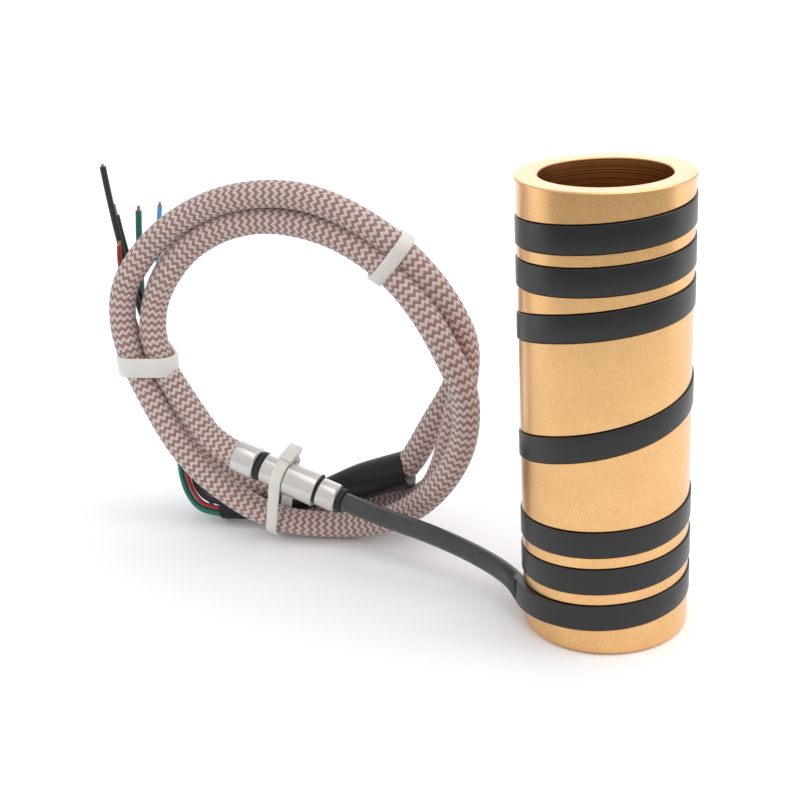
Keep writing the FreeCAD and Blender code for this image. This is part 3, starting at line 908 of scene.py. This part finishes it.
            yarn.data_type = "RGBA"
            yarn.inputs["A"].default_value = (*first, 1)
            yarn.inputs["B"].default_value = (*second, 1)
            links.new(threads.outputs["Fac"], yarn.inputs["Factor"])
            links.new(yarn.outputs["Result"], colour.inputs[end])
        links.new(colour.outputs["Result"], shader.inputs["Base Color"])
        ridge = math_node("ABSOLUTE", math_node("SINE", math_node("MULTIPLY", rows, 2 * math.pi)))
        valley = math_node("ABSOLUTE", math_node("SINE", math_node(
            "MULTIPLY", v, 2 * look.columns * math.pi)))
        height = math_node("ADD", math_node("MULTIPLY", ridge, 0.7),
                           math_node("MULTIPLY", valley, 0.4))
        height = math_node("ADD", height, math_node("MULTIPLY", threads.outputs["Fac"], 0.3))
        bump = nodes.new("ShaderNodeBump")
        bump.inputs["Strength"].default_value = 1.0
        bump.inputs["Distance"].default_value = look.relief * MM
        links.new(height, bump.inputs["Height"])
        links.new(bump.outputs["Normal"], shader.inputs["Normal"])
        return material


# Pieces of the object


def place(obj: bpy.types.Object, slot: Slot, *nodes: str) -> bpy.types.Object:
    """Ties a piece to the part.

    Args:
        obj: The piece.
        slot: Its material slot; not used.
        nodes: The CAD nodes that it stands for.

    Returns:
        The same piece.
    """
    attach(obj, BODY)
    if nodes:
        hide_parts(*nodes)
    return obj


def around(turn: float, r: float, z: float) -> Vector:
    """A point on a turn about Z: turn 0 is at the front and turns rise anticlockwise from above.

    Args:
        turn: The turn count.
        r: Distance from the axis.
        z: Height.

    Returns:
        The point.
    """
    a = 2 * math.pi * turn - math.pi / 2
    return Vector((r * math.cos(a), r * math.sin(a), z))


@dataclass
class Sleeve:
    """The turned brass sleeve with its helical groove."""

    size: SleeveSize
    coil: CoilSize
    paint: Paint
    steps: int = 96

    def build(self) -> bpy.types.Object:
        """Returns the sleeve's object."""
        mesh = MeshBuilder()
        self._turned_part(mesh)
        self._groove_and_lands(mesh)
        mesh.weld()
        obj = mesh.finish("sleeve_look", self.paint.of(Slot.BRASS), split=25.0)
        return place(obj, Slot.BRASS, "brass_sleeve")

    def _turned_part(self, mesh: MeshBuilder) -> None:
        """Adds the rim, the bore and the rounded foot.

        Args:
            mesh: The empty mesh that they start.
        """
        s = self.size
        profile = [(s.wall_r, s.height - s.rim_h), (s.rim_r, s.height - s.rim_h)]
        profile += [(s.rim_r, s.height - s.rim_chamfer), (s.rim_r - s.rim_chamfer, s.height)]
        profile += [(s.bore_r + s.mouth_chamfer, s.height), (s.bore_r, s.height - s.mouth_chamfer)]
        profile += [(s.bore_r, s.mouth_chamfer), (s.bore_r + s.mouth_chamfer, 0.0)]
        for i in range(9):
            a = math.pi / 2 * i / 8
            profile.append((s.wall_r - s.foot_round + s.foot_round * math.sin(a),
                            s.foot_round - s.foot_round * math.cos(a)))
        mesh.lathe(profile, Matrix.Identity(4), 192, closed=False)

    def _rail(self, first: float, last: float, r: float, rise: float, offset: float = 0.0
              ) -> list[Vector]:
        """A line that follows the coil.

        Args:
            first: Turn count where it starts.
            last: Turn count where it ends.
            r: Its distance from the axis.
            rise: Its height over the coil's middle line.
            offset: Turns by which the followed part of the coil is further on.

        Returns:
            Its points, evenly spaced in turns.
        """
        count = round((last - first) * self.steps)
        turns = [first + (last - first) * i / count for i in range(count + 1)]
        return [around(t, r, self.coil.z(t + offset) + rise) for t in turns]

    def _level(self, first: float, last: float, r: float, z: float) -> list[Vector]:
        """A level line round the axis.

        Args:
            first: Turn count where it starts.
            last: Turn count where it ends.
            r: Its distance from the axis.
            z: Its height.

        Returns:
            Its points, evenly spaced in turns.
        """
        count = round((last - first) * self.steps)
        return [around(first + (last - first) * i / count, r, z) for i in range(count + 1)]

    def _groove_and_lands(self, mesh: MeshBuilder) -> None:
        """Adds the groove, its end walls and the lands between its turns.

        Args:
            mesh: The sleeve's mesh.
        """
        s, c = self.size, self.coil
        first, last = c.groove_first, c.groove_last
        half = c.width / 2 + c.side_gap
        floor = c.outer_r - c.thickness - c.floor_gap
        wall, soft = s.wall_r, s.edge_break
        mesh.grid([self._rail(first, last, wall, half + soft),
                   self._rail(first, last, wall - soft, half),
                   self._rail(first, last, floor, half),
                   self._rail(first, last, floor, -half),
                   self._rail(first, last, wall - soft, -half),
                   self._rail(first, last, wall, -half - soft)])
        mesh.grid([self._rail(first, last - 1, wall, half + soft),
                   self._rail(first, last - 1, wall, -half - soft, offset=1.0)])
        mesh.grid([self._rail(last - 1, last, wall, half + soft),
                   self._level(last - 1, last, wall, s.height - s.rim_h)])
        mesh.grid([self._level(first, first + 1, wall, s.foot_round),
                   self._rail(first, first + 1, wall, -half - soft)])
        for turn in (first, last):
            z = c.z(turn)
            mesh.grid([[around(turn, floor, z - half), around(turn, wall, z - half)],
                       [around(turn, floor, z + half), around(turn, wall, z + half)]])


@dataclass
class Coil:
    """The flattened coil that turns into the round cold lead."""

    size: CoilSize
    fitting: FittingSize
    paint: Paint
    steps: int = 96
    count: int = 32
    morph: float = 2.6

    def build(self) -> bpy.types.Object:
        """Returns the coil's object, with its lead."""
        c = self.size
        flat = soft_rectangle(c.thickness / 2, c.width / 2, c.corner, self.count)
        stations: list[Station] = []
        turns = round((c.last_turn - c.first_turn) * self.steps)
        for i in range(turns + 1):
            turn = c.last_turn - (c.last_turn - c.first_turn) * i / turns
            a = 2 * math.pi * turn - math.pi / 2
            out = Vector((math.cos(a), math.sin(a), 0))
            centre = around(turn, c.outer_r - c.thickness / 2 + c.lift(turn), c.z(turn))
            stations.append(Station(centre, out, Vector((0, 0, 1))))
        sections = [flat] * len(stations)
        start = stations[-1]
        f = self.fitting
        control = [start.centre, Vector((-14.9, 4.0, 5.9)), Vector((-21.0, 10.6, 7.3)),
                   Vector((-28.6, 16.6, 8.6)), f.at(-7.5), f.at(f.barrel_at + 2.0)]
        route = smooth_route(control, 0.5)
        carried = carried_stations(route, start.side)
        round_one = soft_rectangle(f.lead_r, f.lead_r, f.lead_r, self.count)
        walked = 0.0
        for before, station in zip(carried, carried[1:]):
            walked += (station.centre - before.centre).length
            share = min(walked / self.morph, 1.0)
            share = share * share * (3 - 2 * share)
            if station.up.z < 0:
                station = Station(station.centre, station.side, -station.up)
            stations.append(station)
            sections.append([(fa + (ra - fa) * share, fb + (rb - fb) * share)
                             for (fa, fb), (ra, rb) in zip(flat, round_one)])
        mesh = MeshBuilder()
        mesh.sweep(stations, sections)
        obj = mesh.finish("coil_look", self.paint.of(Slot.COIL), split=50.0)
        return place(obj, Slot.COIL, "heater_coil")


@dataclass
class Fitting:
    """The transition fitting's turned pieces."""

    size: FittingSize
    paint: Paint

    def build(self) -> list[bpy.types.Object]:
        """Returns the six pieces."""
        f = self.size
        hole = f.lead_r + f.lead_gap
        cable = CABLE_R + f.cable_gap
        pieces = [
            ("lead_seal", Slot.SEAL, self._ring(-f.seal_l, 0.0, hole, f.seal_r, 0.4, 0.1)),
            ("front_ferrule", Slot.STEEL,
             self._ring(0.0, f.ferrule_l, hole, f.ferrule_r, 0.8, 0.15)),
            ("front_ring", Slot.SEAL,
             self._ring(f.ferrule_l, f.barrel_at, hole, f.ring_r, 0.1, 0.1)),
            ("transition_barrel", Slot.STEEL, self._barrel(hole)),
            ("rear_o_ring", Slot.SEAL,
             self._ring(f.o_ring_at, f.gland_at, hole, f.o_ring_r, 0.4, 0.4)),
            ("cable_gland", Slot.STEEL, self._gland(cable)),
        ]
        turn = f.axis.to_track_quat("Z", "Y").to_matrix().to_4x4()
        frame = Matrix.Translation(f.front) @ turn
        made = []
        for node, slot, profile in pieces:
            mesh = MeshBuilder()
            mesh.lathe(profile, frame, 72)
            made.append(place(mesh.finish(node + "_look", self.paint.of(slot), split=32.0),
                              slot, node))
        return made

    @staticmethod
    def _arc(centre_r: float, centre_z: float, radius: float, first: float, last: float
             ) -> list[tuple[float, float]]:
        """A rounded corner of a turned profile.

        Args:
            centre_r: The arc's centre, from the axis.
            centre_z: The arc's centre, along the axis.
            radius: Its radius.
            first: Angle in degrees where it starts.
            last: Angle in degrees where it ends.

        Returns:
            Its (radius, height) corners.
        """
        return [(centre_r + radius * math.cos(math.radians(first + (last - first) * i / 5)),
                 centre_z + radius * math.sin(math.radians(first + (last - first) * i / 5)))
                for i in range(6)]

    def _ring(self, low: float, high: float, inner: float, outer: float, soft_low: float,
              soft_high: float) -> list[tuple[float, float]]:
        """Profile of a ring with rounded outer corners.

        Args:
            low: Depth of its front face.
            high: Depth of its rear face.
            inner: Inner radius.
            outer: Outer radius.
            soft_low: Rounding at the front.
            soft_high: Rounding at the rear.

        Returns:
            Its (radius, height) corners.
        """
        return [(inner, low), *self._arc(outer - soft_low, low + soft_low, soft_low, -90, 0),
                *self._arc(outer - soft_high, high - soft_high, soft_high, 0, 90), (inner, high)]

    def _barrel(self, hole: float) -> list[tuple[float, float]]:
        """Profile of the hollow barrel with its neck.

        Args:
            hole: Radius of the hole for the cold lead.

        Returns:
            Its (radius, height) corners.
        """
        f = self.size
        soft = 0.25
        return [(hole, f.barrel_at),
                *self._arc(f.barrel_r - soft, f.barrel_at + soft, soft, -90, 0),
                *self._arc(f.barrel_r - soft, f.neck_at - soft, soft, 0, 90),
                (f.neck_r, f.neck_at),
                *self._arc(f.neck_r - soft, f.o_ring_at - soft, soft, 0, 90),
                (f.chamber_r, f.o_ring_at), (f.chamber_r, f.barrel_at + f.front_wall),
                (hole, f.barrel_at + f.front_wall)]

    def _gland(self, cable: float) -> list[tuple[float, float]]:
        """Profile of the cable gland with its socket.

        Args:
            cable: Radius of the socket that takes the braid.

        Returns:
            Its (radius, height) corners.
        """
        f = self.size
        soft = 0.8
        return [(f.throat_r, f.gland_at),
                *self._arc(f.gland_r - soft, f.gland_at + soft, soft, -90, 0),
                *self._arc(f.gland_r - 0.15, f.end - 0.15, 0.15, 0, 90), (cable, f.end),
                (cable, f.end - f.socket_l), (f.throat_r, f.end - f.socket_l)]


class BraidedLead:
    """The braided lead's one route, its mesh and where its turns lie."""

    STRAIGHT_BEHIND_FITTING = 4.5
    FIRST_ANGLE = -156
    LAST_ANGLE = -1107
    INTO_SHRINK = (4.0, 9.0)
    SPACING = 0.45
    SIDES = 28
    INSIDE_R = 10.0

    def __init__(self, fitting: FittingSize, paint: Paint) -> None:
        """Works out the lead's route.

        Args:
            fitting: The fitting that it leaves.
            paint: Makes its material.
        """
        self.fitting = fitting
        self.paint = paint
        self.route = self._route()

    @staticmethod
    def station(angle: float) -> tuple[float, float]:
        """Where the turns run at an angle, between the stations.

        Args:
            angle: Degrees about the ring's centre, counted on through the turns.

        Returns:
            Distance from the ring's centre and place along Y.

        Raises:
            ValueError: The angle is before the first or past the last station.
        """
        for (a, r0, y0), (b, r1, y1) in zip(TURN_STATIONS, TURN_STATIONS[1:]):
            if b <= angle <= a:
                share = (a - angle) / (a - b)
                return r0 + (r1 - r0) * share, y0 + (y1 - y0) * share
        raise ValueError(f"angle {angle} is off the ring")

    def _route(self) -> list[Vector]:
        """The route from the fitting's socket through the turns into the heat shrink.

        Returns:
            Its points, evenly spaced, in millimetres.
        """
        f = self.fitting
        swell = 2 / (1 + math.cos(math.radians(TURN_STEP / 2)) ** 2)
        control = [f.at(f.end - f.socket_l), f.at(f.end + self.STRAIGHT_BEHIND_FITTING)]
        angle = self.FIRST_ANGLE
        while angle >= self.LAST_ANGLE:
            r, y = self.station(angle)
            a = math.radians(angle)
            control.append(RING_CENTRE + Vector((r * swell * math.cos(a), y,
                                                 r * swell * math.sin(a))))
            angle -= TURN_STEP
        along = (SHRINK_ROUTE[1] - SHRINK_ROUTE[0]).normalized()
        control.append(SHRINK_ROUTE[0].copy())
        control += [SHRINK_ROUTE[0] + along * depth for depth in self.INTO_SHRINK]
        for point in control:
            point.z = max(point.z, CABLE_R + FLOOR_GAP)
        return smooth_route(control, self.SPACING)

    def strands_at(self, angle: float) -> list[tuple[float, float]]:
        """Where the route crosses an angle of the ring.

        Args:
            angle: Degrees about the ring's centre.

        Returns:
            (distance from the centre, place along Y) per crossing.
        """
        found = []
        a = math.radians(angle)
        out = Vector((math.cos(a), 0, math.sin(a)))
        over = Vector((-math.sin(a), 0, math.cos(a)))
        for p, q in zip(self.route, self.route[1:]):
            sp, sq = (p - RING_CENTRE).dot(over), (q - RING_CENTRE).dot(over)
            if sp * sq <= 0 and sp != sq and (p - RING_CENTRE).dot(out) > self.INSIDE_R:
                m = p.lerp(q, sp / (sp - sq))
                found.append(((m - RING_CENTRE).dot(out), m.y))
        return found

    def build(self) -> bpy.types.Object:
        """Returns the lead's mesh."""
        stations = carried_stations(self.route, Vector((0, 0, 1)))
        mesh = MeshBuilder()
        mesh.sweep(stations, [round_section(CABLE_R, self.SIDES)] * len(stations))
        obj = mesh.finish("braided_lead_look", self.paint.of(Slot.BRAID), split=60.0)
        return place(obj, Slot.BRAID, "braided_lead_turns", "braided_lead_start",
                     "braided_lead_back_strand", "braided_lead_end")


@dataclass
class HeatShrink:
    """Black tapered sleeve over the braid's end and the wires' start."""

    paint: Paint
    cable_r: float = 3.5
    wire_r: float = 2.05

    def build(self) -> bpy.types.Object:
        """Returns the sleeve's object."""
        route = smooth_route(SHRINK_ROUTE, 0.5)
        stations = carried_stations(route, Vector((0, 0, 1)))
        sections = []
        for i in range(len(stations)):
            share = i / (len(stations) - 1)
            drop = min(max((share - 0.2) / 0.35, 0.0), 1.0)
            drop = drop * drop * (3 - 2 * drop)
            radius = self.cable_r - 0.25 * share + (self.wire_r + 0.25 - self.cable_r) * drop
            sections.append([
                (a * (1 + 0.018 * math.sin(3 * k + 9 * share)), b * (1 + 0.018 * math.cos(2 * k)))
                for k, (a, b) in enumerate(round_section(radius, 32))])
        mesh = MeshBuilder()
        mesh.sweep(stations, sections)
        mesh.bevel_sharp(0.3, 2, 60.0)
        obj = mesh.finish("heat_shrink_look", self.paint.of(Slot.SHRINK), split=60.0)
        return place(obj, Slot.SHRINK, "heat_shrink_sleeve")


@dataclass
class Wires:
    """The lead's five insulated wires, with their bare ends."""

    paint: Paint
    circle_r: float = 1.15

    SLOTS = {"power_wire_a": Slot.BLACK_WIRE, "power_wire_b": Slot.BLACK_WIRE,
             "ground_wire": Slot.GREEN_WIRE, "thermocouple_wire_plus": Slot.RED_WIRE,
             "thermocouple_wire_minus": Slot.BLUE_WIRE}

    def build(self) -> list[bpy.types.Object]:
        """Returns the wires' objects."""
        end = SHRINK_ROUTE[-1]
        along = (end - SHRINK_ROUTE[-2]).normalized()
        side = along.cross(Vector((0, 0, 1))).normalized()
        up = side.cross(along)
        made = []
        for wire in WIRES:
            a = math.radians(wire.place)
            start = end + (side * math.cos(a) + up * math.sin(a)) * self.circle_r
            control = [start - along * 2, start + along * 2, *map(Vector, wire.points)]
            route = smooth_route(control, 0.6)
            stations = carried_stations(route, Vector((0, 0, 1)))
            mesh = MeshBuilder()
            mesh.sweep(stations, [round_section(wire.radius, 12)] * len(stations))
            slot = self.SLOTS[wire.node]
            obj = place(mesh.finish(wire.node + "_look", self.paint.of(slot), split=60.0),
                        slot, wire.node)
            tip = (route[-1] - route[-2]).normalized()
            bare = MeshBuilder()
            bare_route = [route[-1] + tip * (wire.bare * k / 6) for k in range(7)]
            bare.sweep(carried_stations(bare_route, side),
                       [round_section(wire.radius * 0.55, 10)] * 7)
            bare_obj = place(bare.finish(wire.conductor + "_look", self.paint.of(Slot.BARE)),
                             Slot.BARE, wire.conductor)
            made.append(obj)
        return made


def hull(points: Iterable[tuple[float, float]]) -> list[tuple[float, float]]:
    """The convex outline round points.

    Args:
        points: The points.

    Returns:
        Its corners, anticlockwise.
    """
    ordered = sorted(set(points))
    halves = []
    for run in (ordered, list(reversed(ordered))):
        chain: list[tuple[float, float]] = []
        for p in run:
            while len(chain) > 1 and ((chain[-1][0] - chain[-2][0]) * (p[1] - chain[-2][1])
                                      - (chain[-1][1] - chain[-2][1]) * (p[0] - chain[-2][0])) <= 0:
                chain.pop()
            chain.append(p)
        halves.append(chain[:-1])
    return halves[0] + halves[1]


@dataclass
class CableTie:
    """A nylon tie pulled round some strands."""

    name: str
    centre: Vector
    along: Vector
    side: Vector
    strands: list[tuple[float, float, float]]
    width: float
    head_towards: tuple[float, float]
    paint: Paint
    thickness: float = 0.7
    slack: float = 0.05
    head_size: tuple[float, float] = (4.0, 2.9)
    tail_at: tuple[float, float] | None = None

    def build(self) -> bpy.types.Object:
        """Returns the tie's object: strap, head and trimmed tail."""
        other = self.along.cross(self.side)
        outline = hull((x + (r + self.slack) * math.cos(a), y + (r + self.slack) * math.sin(a))
                       for x, y, r in self.strands
                       for a in (2 * math.pi * i / 48 for i in range(48)))
        flat = [Vector((x, y, 0)) for x, y in outline]
        flat.append(flat[0])
        loop = resample(flat, 0.45)[:-1]
        count = len(loop)
        mesh = MeshBuilder()
        rows = []
        soft = 0.16
        across = [(-0.5, 0.0, 1), (-0.5, soft, 0), (-0.5, self.thickness - soft, 0),
                  (-0.5, self.thickness, 1), (0.5, self.thickness, 1),
                  (0.5, self.thickness - soft, 0), (0.5, soft, 0), (0.5, 0.0, 1)]
        for share, out, inset in across:
            step = share * self.width - math.copysign(soft, share) * inset
            row = []
            for i in range(count):
                before, after = loop[i - 1], loop[(i + 1) % count]
                way = (after - before).normalized()
                normal = Vector((way.y, -way.x, 0))
                p = loop[i] + normal * out
                row.append(self.centre + self.side * p.x + other * p.y + self.along * step)
            row.append(row[0])
            rows.append(row)
        rows.append(rows[0])
        mesh.grid(rows)
        mesh.weld()
        self._head(mesh, loop, other)
        obj = mesh.finish(self.name + "_look", self.paint.of(Slot.TIE), split=50.0)
        return place(obj, Slot.TIE, self.name)

    def _head(self, mesh: MeshBuilder, loop: list[Vector], other: Vector) -> None:
        """Adds the ratchet head and the trimmed tail.

        Args:
            mesh: The tie's mesh, with the strap.
            loop: The strap's inner line, in the tie's own plane.
            other: The plane's second direction.
        """
        towards = Vector((*self.head_towards, 0)).normalized()
        seat = max(loop, key=lambda p: p.dot(towards))
        out = (self.side * towards.x + other * towards.y).normalized()
        long_way = self.along.cross(out)
        base = self.centre + self.side * seat.x + other * seat.y
        head = MeshBuilder()
        length, height = self.head_size
        head.box(base + out * (height / 2 + 0.1), (long_way, self.along, out),
                 (length, self.width + 0.7, height))
        head.bevel_sharp(0.45, 3)
        tail = MeshBuilder()
        if self.tail_at is None:
            tail.box(base + out * 1.9 + long_way * 3.0, (long_way, self.along, out),
                     (2.6, self.width, 0.95))
        else:
            towards = Vector((*self.tail_at, 0)).normalized()
            seat = max(loop, key=lambda p: p.dot(towards))
            out = self.side * towards.x + other * towards.y
            long_way = self.along.cross(out)
            base = self.centre + self.side * seat.x + other * seat.y
            tail.box(base + out * 0.6 + long_way * 2.4, (long_way, self.along, out),
                     (4.4, self.width + 0.4, 1.1))
        tail.bevel_sharp(0.15, 2)
        for extra in (head, tail):
            temporary = bpy.data.meshes.new("tie_extra")
            extra.bm.to_mesh(temporary)
            extra.bm.free()
            mesh.bm.from_mesh(temporary)
            bpy.data.meshes.remove(temporary)


class Ties:
    """The three cable ties."""

    BEHIND_BARREL = 1.1
    LEAVES_FITTING = 60
    REACH = 16.0

    def __init__(self, lead: BraidedLead, fitting: FittingSize, paint: Paint) -> None:
        """Takes what the ties hold.

        Args:
            lead: The braided lead with its turns.
            fitting: The transition fitting.
            paint: Makes their material.
        """
        self.lead = lead
        self.fitting = fitting
        self.paint = paint

    def build(self) -> list[bpy.types.Object]:
        """Returns the ties' objects."""
        return [self._on_ring("upper_cable_tie", 50.0, 2.5, -0.35),
                self._on_ring("left_cable_tie", 180.0, 3.6, 0.5), self._on_fitting()]

    def _on_ring(self, name: str, angle: float, width: float, head_out: float
                 ) -> bpy.types.Object:
        """A tie round the ring's strands.

        Args:
            name: Name of its node.
            angle: Its place in degrees about the ring's centre.
            width: Width of the strap.
            head_out: How far its head leans out from the ring, against 1 towards the back.

        Returns:
            The tie's object.
        """
        a = math.radians(angle)
        side = Vector((math.cos(a), 0, math.sin(a)))
        along = Vector((-math.sin(a), 0, math.cos(a)))
        strands = [(r, y, CABLE_R) for r, y in self.lead.strands_at(angle)]
        LOG.info("%s strands %s", name, strands)
        return CableTie(name, RING_CENTRE, along, side, strands, width, (head_out, 1.0),
                        self.paint).build()

    def _on_fitting(self) -> bpy.types.Object:
        """The tie round the fitting's neck and the strand below it.

        Returns:
            The tie's object.
        """
        f = self.fitting
        centre = f.at(f.neck_at + self.BEHIND_BARREL)
        axis = f.axis
        crossing = None
        free = self.lead.route[self.LEAVES_FITTING:]
        for p, q in zip(free, free[1:]):
            sp, sq = (p - centre).dot(axis), (q - centre).dot(axis)
            if sp * sq <= 0 and sp != sq and (p - centre).length < self.REACH and p.z < centre.z:
                crossing = p.lerp(q, sp / (sp - sq))
                break
        assert crossing is not None
        down = (crossing - centre).normalized()
        other = axis.cross(down)
        LOG.info("fitting tie strand at %s, %.1f mm below", crossing, (crossing - centre).length)
        strands = [(0.0, 0.0, f.neck_r), ((crossing - centre).dot(down),
                                          (crossing - centre).dot(other), CABLE_R)]
        return CableTie("fitting_cable_tie", centre, axis, down, strands, 2.1, (-0.5, -1.0),
                        self.paint, head_size=(2.4, 1.5), tail_at=(-1.0, 0.0)).build()


# Stage, light and camera


@dataclass(frozen=True)
class Lamp:
    """A soft area light."""

    name: str
    at: tuple[float, float, float]
    towards: tuple[float, float, float]
    size: tuple[float, float]
    power: float


@dataclass(frozen=True)
class Sun:
    """A wide, even light from far off, named by where it shines from."""

    name: str
    shines_from: tuple[float, float, float]
    angle: float
    strength: float


LAMPS = (
    Lamp("right_light", (0.55, -0.10, 0.30), (0.0, 0.0, 0.04), (0.30, 0.50), 0.9),
    Lamp("back_light", (0.08, 0.62, 0.23), (0.0, 0.0, 0.06), (0.60, 0.26), 0.44),
    Lamp("left_strip", (-0.50, 0.12, 0.14), (0.0, 0.0, 0.05), (0.10, 0.40), 0.14),
)
SUNS = (Sun("window_light", (0.35, -0.20, 0.95), 60.0, 0.85),)


class Studio:
    """Pale floor, soft light and the camera that took the picture."""

    FOCAL_PX = 1458.7
    PITCH = 21.07
    ROLL = -3.014
    PLACE = (-31.92, -211.6, 121.3)
    FLOOR_PALE = (0.96, 0.965, 0.98, 1)
    # Grey of a painted shadow on the floor far in front of the part.
    FLOOR_PAINTED_SHADOW = (0.17, 0.17, 0.17, 1)
    ROOM_STRENGTH = 0.86
    # Where the floor's painted shadow fades in: distance from the origin, then how far in front of
    # it.
    PAINTED_SHADOW_FROM = 170.0
    PAINTED_SHADOW_TO = 270.0
    PAINTED_SHADOW_SIDE = -60.0

    def __init__(self) -> None:
        """Takes the open scene."""
        self.scene = bpy.context.scene

    def build(self) -> None:
        """Sets up everything that isn't the object."""
        self._floor()
        self._world()
        for lamp in LAMPS:
            self._lamp(lamp)
        for sun in SUNS:
            self._sun(sun)
        self._camera()
        self.scene.view_settings.view_transform = "Standard"

    def _floor(self) -> None:
        """Lays the pale floor, with a painted shadow far in front of the part, where its brass
        mirrors it.
        """
        mesh = MeshBuilder()
        mesh.grid([[Vector((-3000, -3000, 0)), Vector((3000, -3000, 0))],
                   [Vector((-3000, 3000, 0)), Vector((3000, 3000, 0))]])
        material = bpy.data.materials.new("floor")
        material.use_nodes = True
        shader = material.node_tree.nodes["Principled BSDF"]
        shader.inputs["Roughness"].default_value = 0.9
        shader.inputs["Specular IOR Level"].default_value = 0.2
        tree = material.node_tree
        where = tree.nodes.new("ShaderNodeTexCoord")
        split = tree.nodes.new("ShaderNodeSeparateXYZ")
        tree.links.new(where.outputs["Object"], split.inputs["Vector"])
        away = tree.nodes.new("ShaderNodeVectorMath")
        away.operation = "LENGTH"
        tree.links.new(where.outputs["Object"], away.inputs[0])
        # Painted shadow: the floor's colour turns grey far from the part, only on the camera's
        # side.
        painted_shadow = tree.nodes.new("ShaderNodeMath")
        painted_shadow.operation = "MULTIPLY"
        for k, (source, low, high) in enumerate((
                (away.outputs["Value"], self.PAINTED_SHADOW_FROM, self.PAINTED_SHADOW_TO),
                (split.outputs["Y"], 0.0, self.PAINTED_SHADOW_SIDE))):
            reach = tree.nodes.new("ShaderNodeMapRange")
            reach.interpolation_type = "SMOOTHSTEP"
            reach.inputs["From Min"].default_value = low * MM
            reach.inputs["From Max"].default_value = high * MM
            tree.links.new(source, reach.inputs["Value"])
            tree.links.new(reach.outputs["Result"], painted_shadow.inputs[k])
        mix = tree.nodes.new("ShaderNodeMix")
        mix.data_type = "RGBA"
        mix.inputs["A"].default_value = self.FLOOR_PALE
        mix.inputs["B"].default_value = self.FLOOR_PAINTED_SHADOW
        tree.links.new(painted_shadow.outputs["Value"], mix.inputs["Factor"])
        tree.links.new(mix.outputs["Result"], shader.inputs["Base Color"])
        mesh.finish("floor", material)

    def _world(self) -> None:
        """Lights the scene evenly from all round."""
        world = bpy.data.worlds.new("soft_room")
        world.use_nodes = True
        background = world.node_tree.nodes["Background"]
        background.inputs["Color"].default_value = (1.0, 1.0, 1.0, 1)
        background.inputs["Strength"].default_value = self.ROOM_STRENGTH
        self.scene.world = world

    def _lamp(self, lamp: Lamp) -> None:
        """Hangs a soft area light.

        Args:
            lamp: Its place, aim, size and power.
        """
        data = bpy.data.lights.new(lamp.name, "AREA")
        data.shape = "RECTANGLE"
        data.size, data.size_y = lamp.size
        data.energy = lamp.power
        obj = bpy.data.objects.new(lamp.name, data)
        obj.location = lamp.at
        way = Vector(lamp.towards) - Vector(lamp.at)
        obj.rotation_euler = way.to_track_quat("-Z", "Y").to_euler()
        self.scene.collection.objects.link(obj)

    def _sun(self, sun: Sun) -> None:
        """Adds a wide light from far off.

        Args:
            sun: Its direction, spread and strength.
        """
        data = bpy.data.lights.new(sun.name, "SUN")
        data.energy = sun.strength
        data.angle = math.radians(sun.angle)
        obj = bpy.data.objects.new(sun.name, data)
        obj.rotation_euler = Vector(sun.shines_from).to_track_quat("Z", "Y").to_euler()
        self.scene.collection.objects.link(obj)

    def _camera(self) -> None:
        """Sets up the camera that took the photograph."""
        data = bpy.data.cameras.new("camera")
        data.sensor_width = 36.0
        data.lens = self.FOCAL_PX / 800 * 36.0
        data.clip_start, data.clip_end = 0.01, 20.0
        obj = bpy.data.objects.new("camera", data)
        p, roll = math.radians(self.PITCH), math.radians(self.ROLL)
        forward = Vector((0, math.cos(p), -math.sin(p)))
        up0 = Vector((0, math.sin(p), math.cos(p)))
        right = Vector((1, 0, 0)) * math.cos(roll) + up0 * math.sin(roll)
        up = Vector((1, 0, 0)) * -math.sin(roll) + up0 * math.cos(roll)
        matrix = Matrix.Identity(4)
        for row in range(3):
            matrix[row][0] = right[row]
            matrix[row][1] = up[row]
            matrix[row][2] = -forward[row]
        matrix.translation = Vector(self.PLACE) * MM
        obj.matrix_world = matrix
        self.scene.collection.objects.link(obj)
        self.scene.camera = obj


# The whole scene

INNER_SLOTS = {
    "power_pin_a": Slot.PIN, "power_pin_b": Slot.PIN,
    "thermocouple_pin_plus": Slot.PIN, "thermocouple_pin_minus": Slot.PIN,
    "power_crimp_a": Slot.CRIMP, "power_crimp_b": Slot.CRIMP, "ground_crimp": Slot.CRIMP,
    "thermocouple_crimp_plus": Slot.CRIMP, "thermocouple_crimp_minus": Slot.CRIMP,
    "crimp_insulator": Slot.CERAMIC, "transition_potting": Slot.POTTING,
}


def main() -> None:
    """Builds the looks around the frame."""
    logging.basicConfig(level=logging.INFO, format="%(name)s %(message)s")
    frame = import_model()
    paint = Paint()
    fitting = FittingSize()
    coil = CoilSize()
    for node, slot in INNER_SLOTS.items():
        piece = frame["nodes"][node]
        piece.data.materials.clear()
        piece.data.materials.append(paint.of(slot))
    sleeve = Sleeve(SleeveSize(), coil, paint).build()
    heater = Coil(coil, fitting, paint).build()
    turned = Fitting(fitting, paint).build()
    lead = BraidedLead(fitting, paint)
    lead_object = lead.build()
    shrink = HeatShrink(paint).build()
    wires = Wires(paint).build()
    ties = Ties(lead, fitting, paint).build()
    for piece in (sleeve, heater, *turned, lead_object, shrink, *wires, *ties):
        LOG.info("%s: %d faces", piece.name, len(piece.data.polygons))
    Studio().build()


if __name__ == "__main__":
    main()
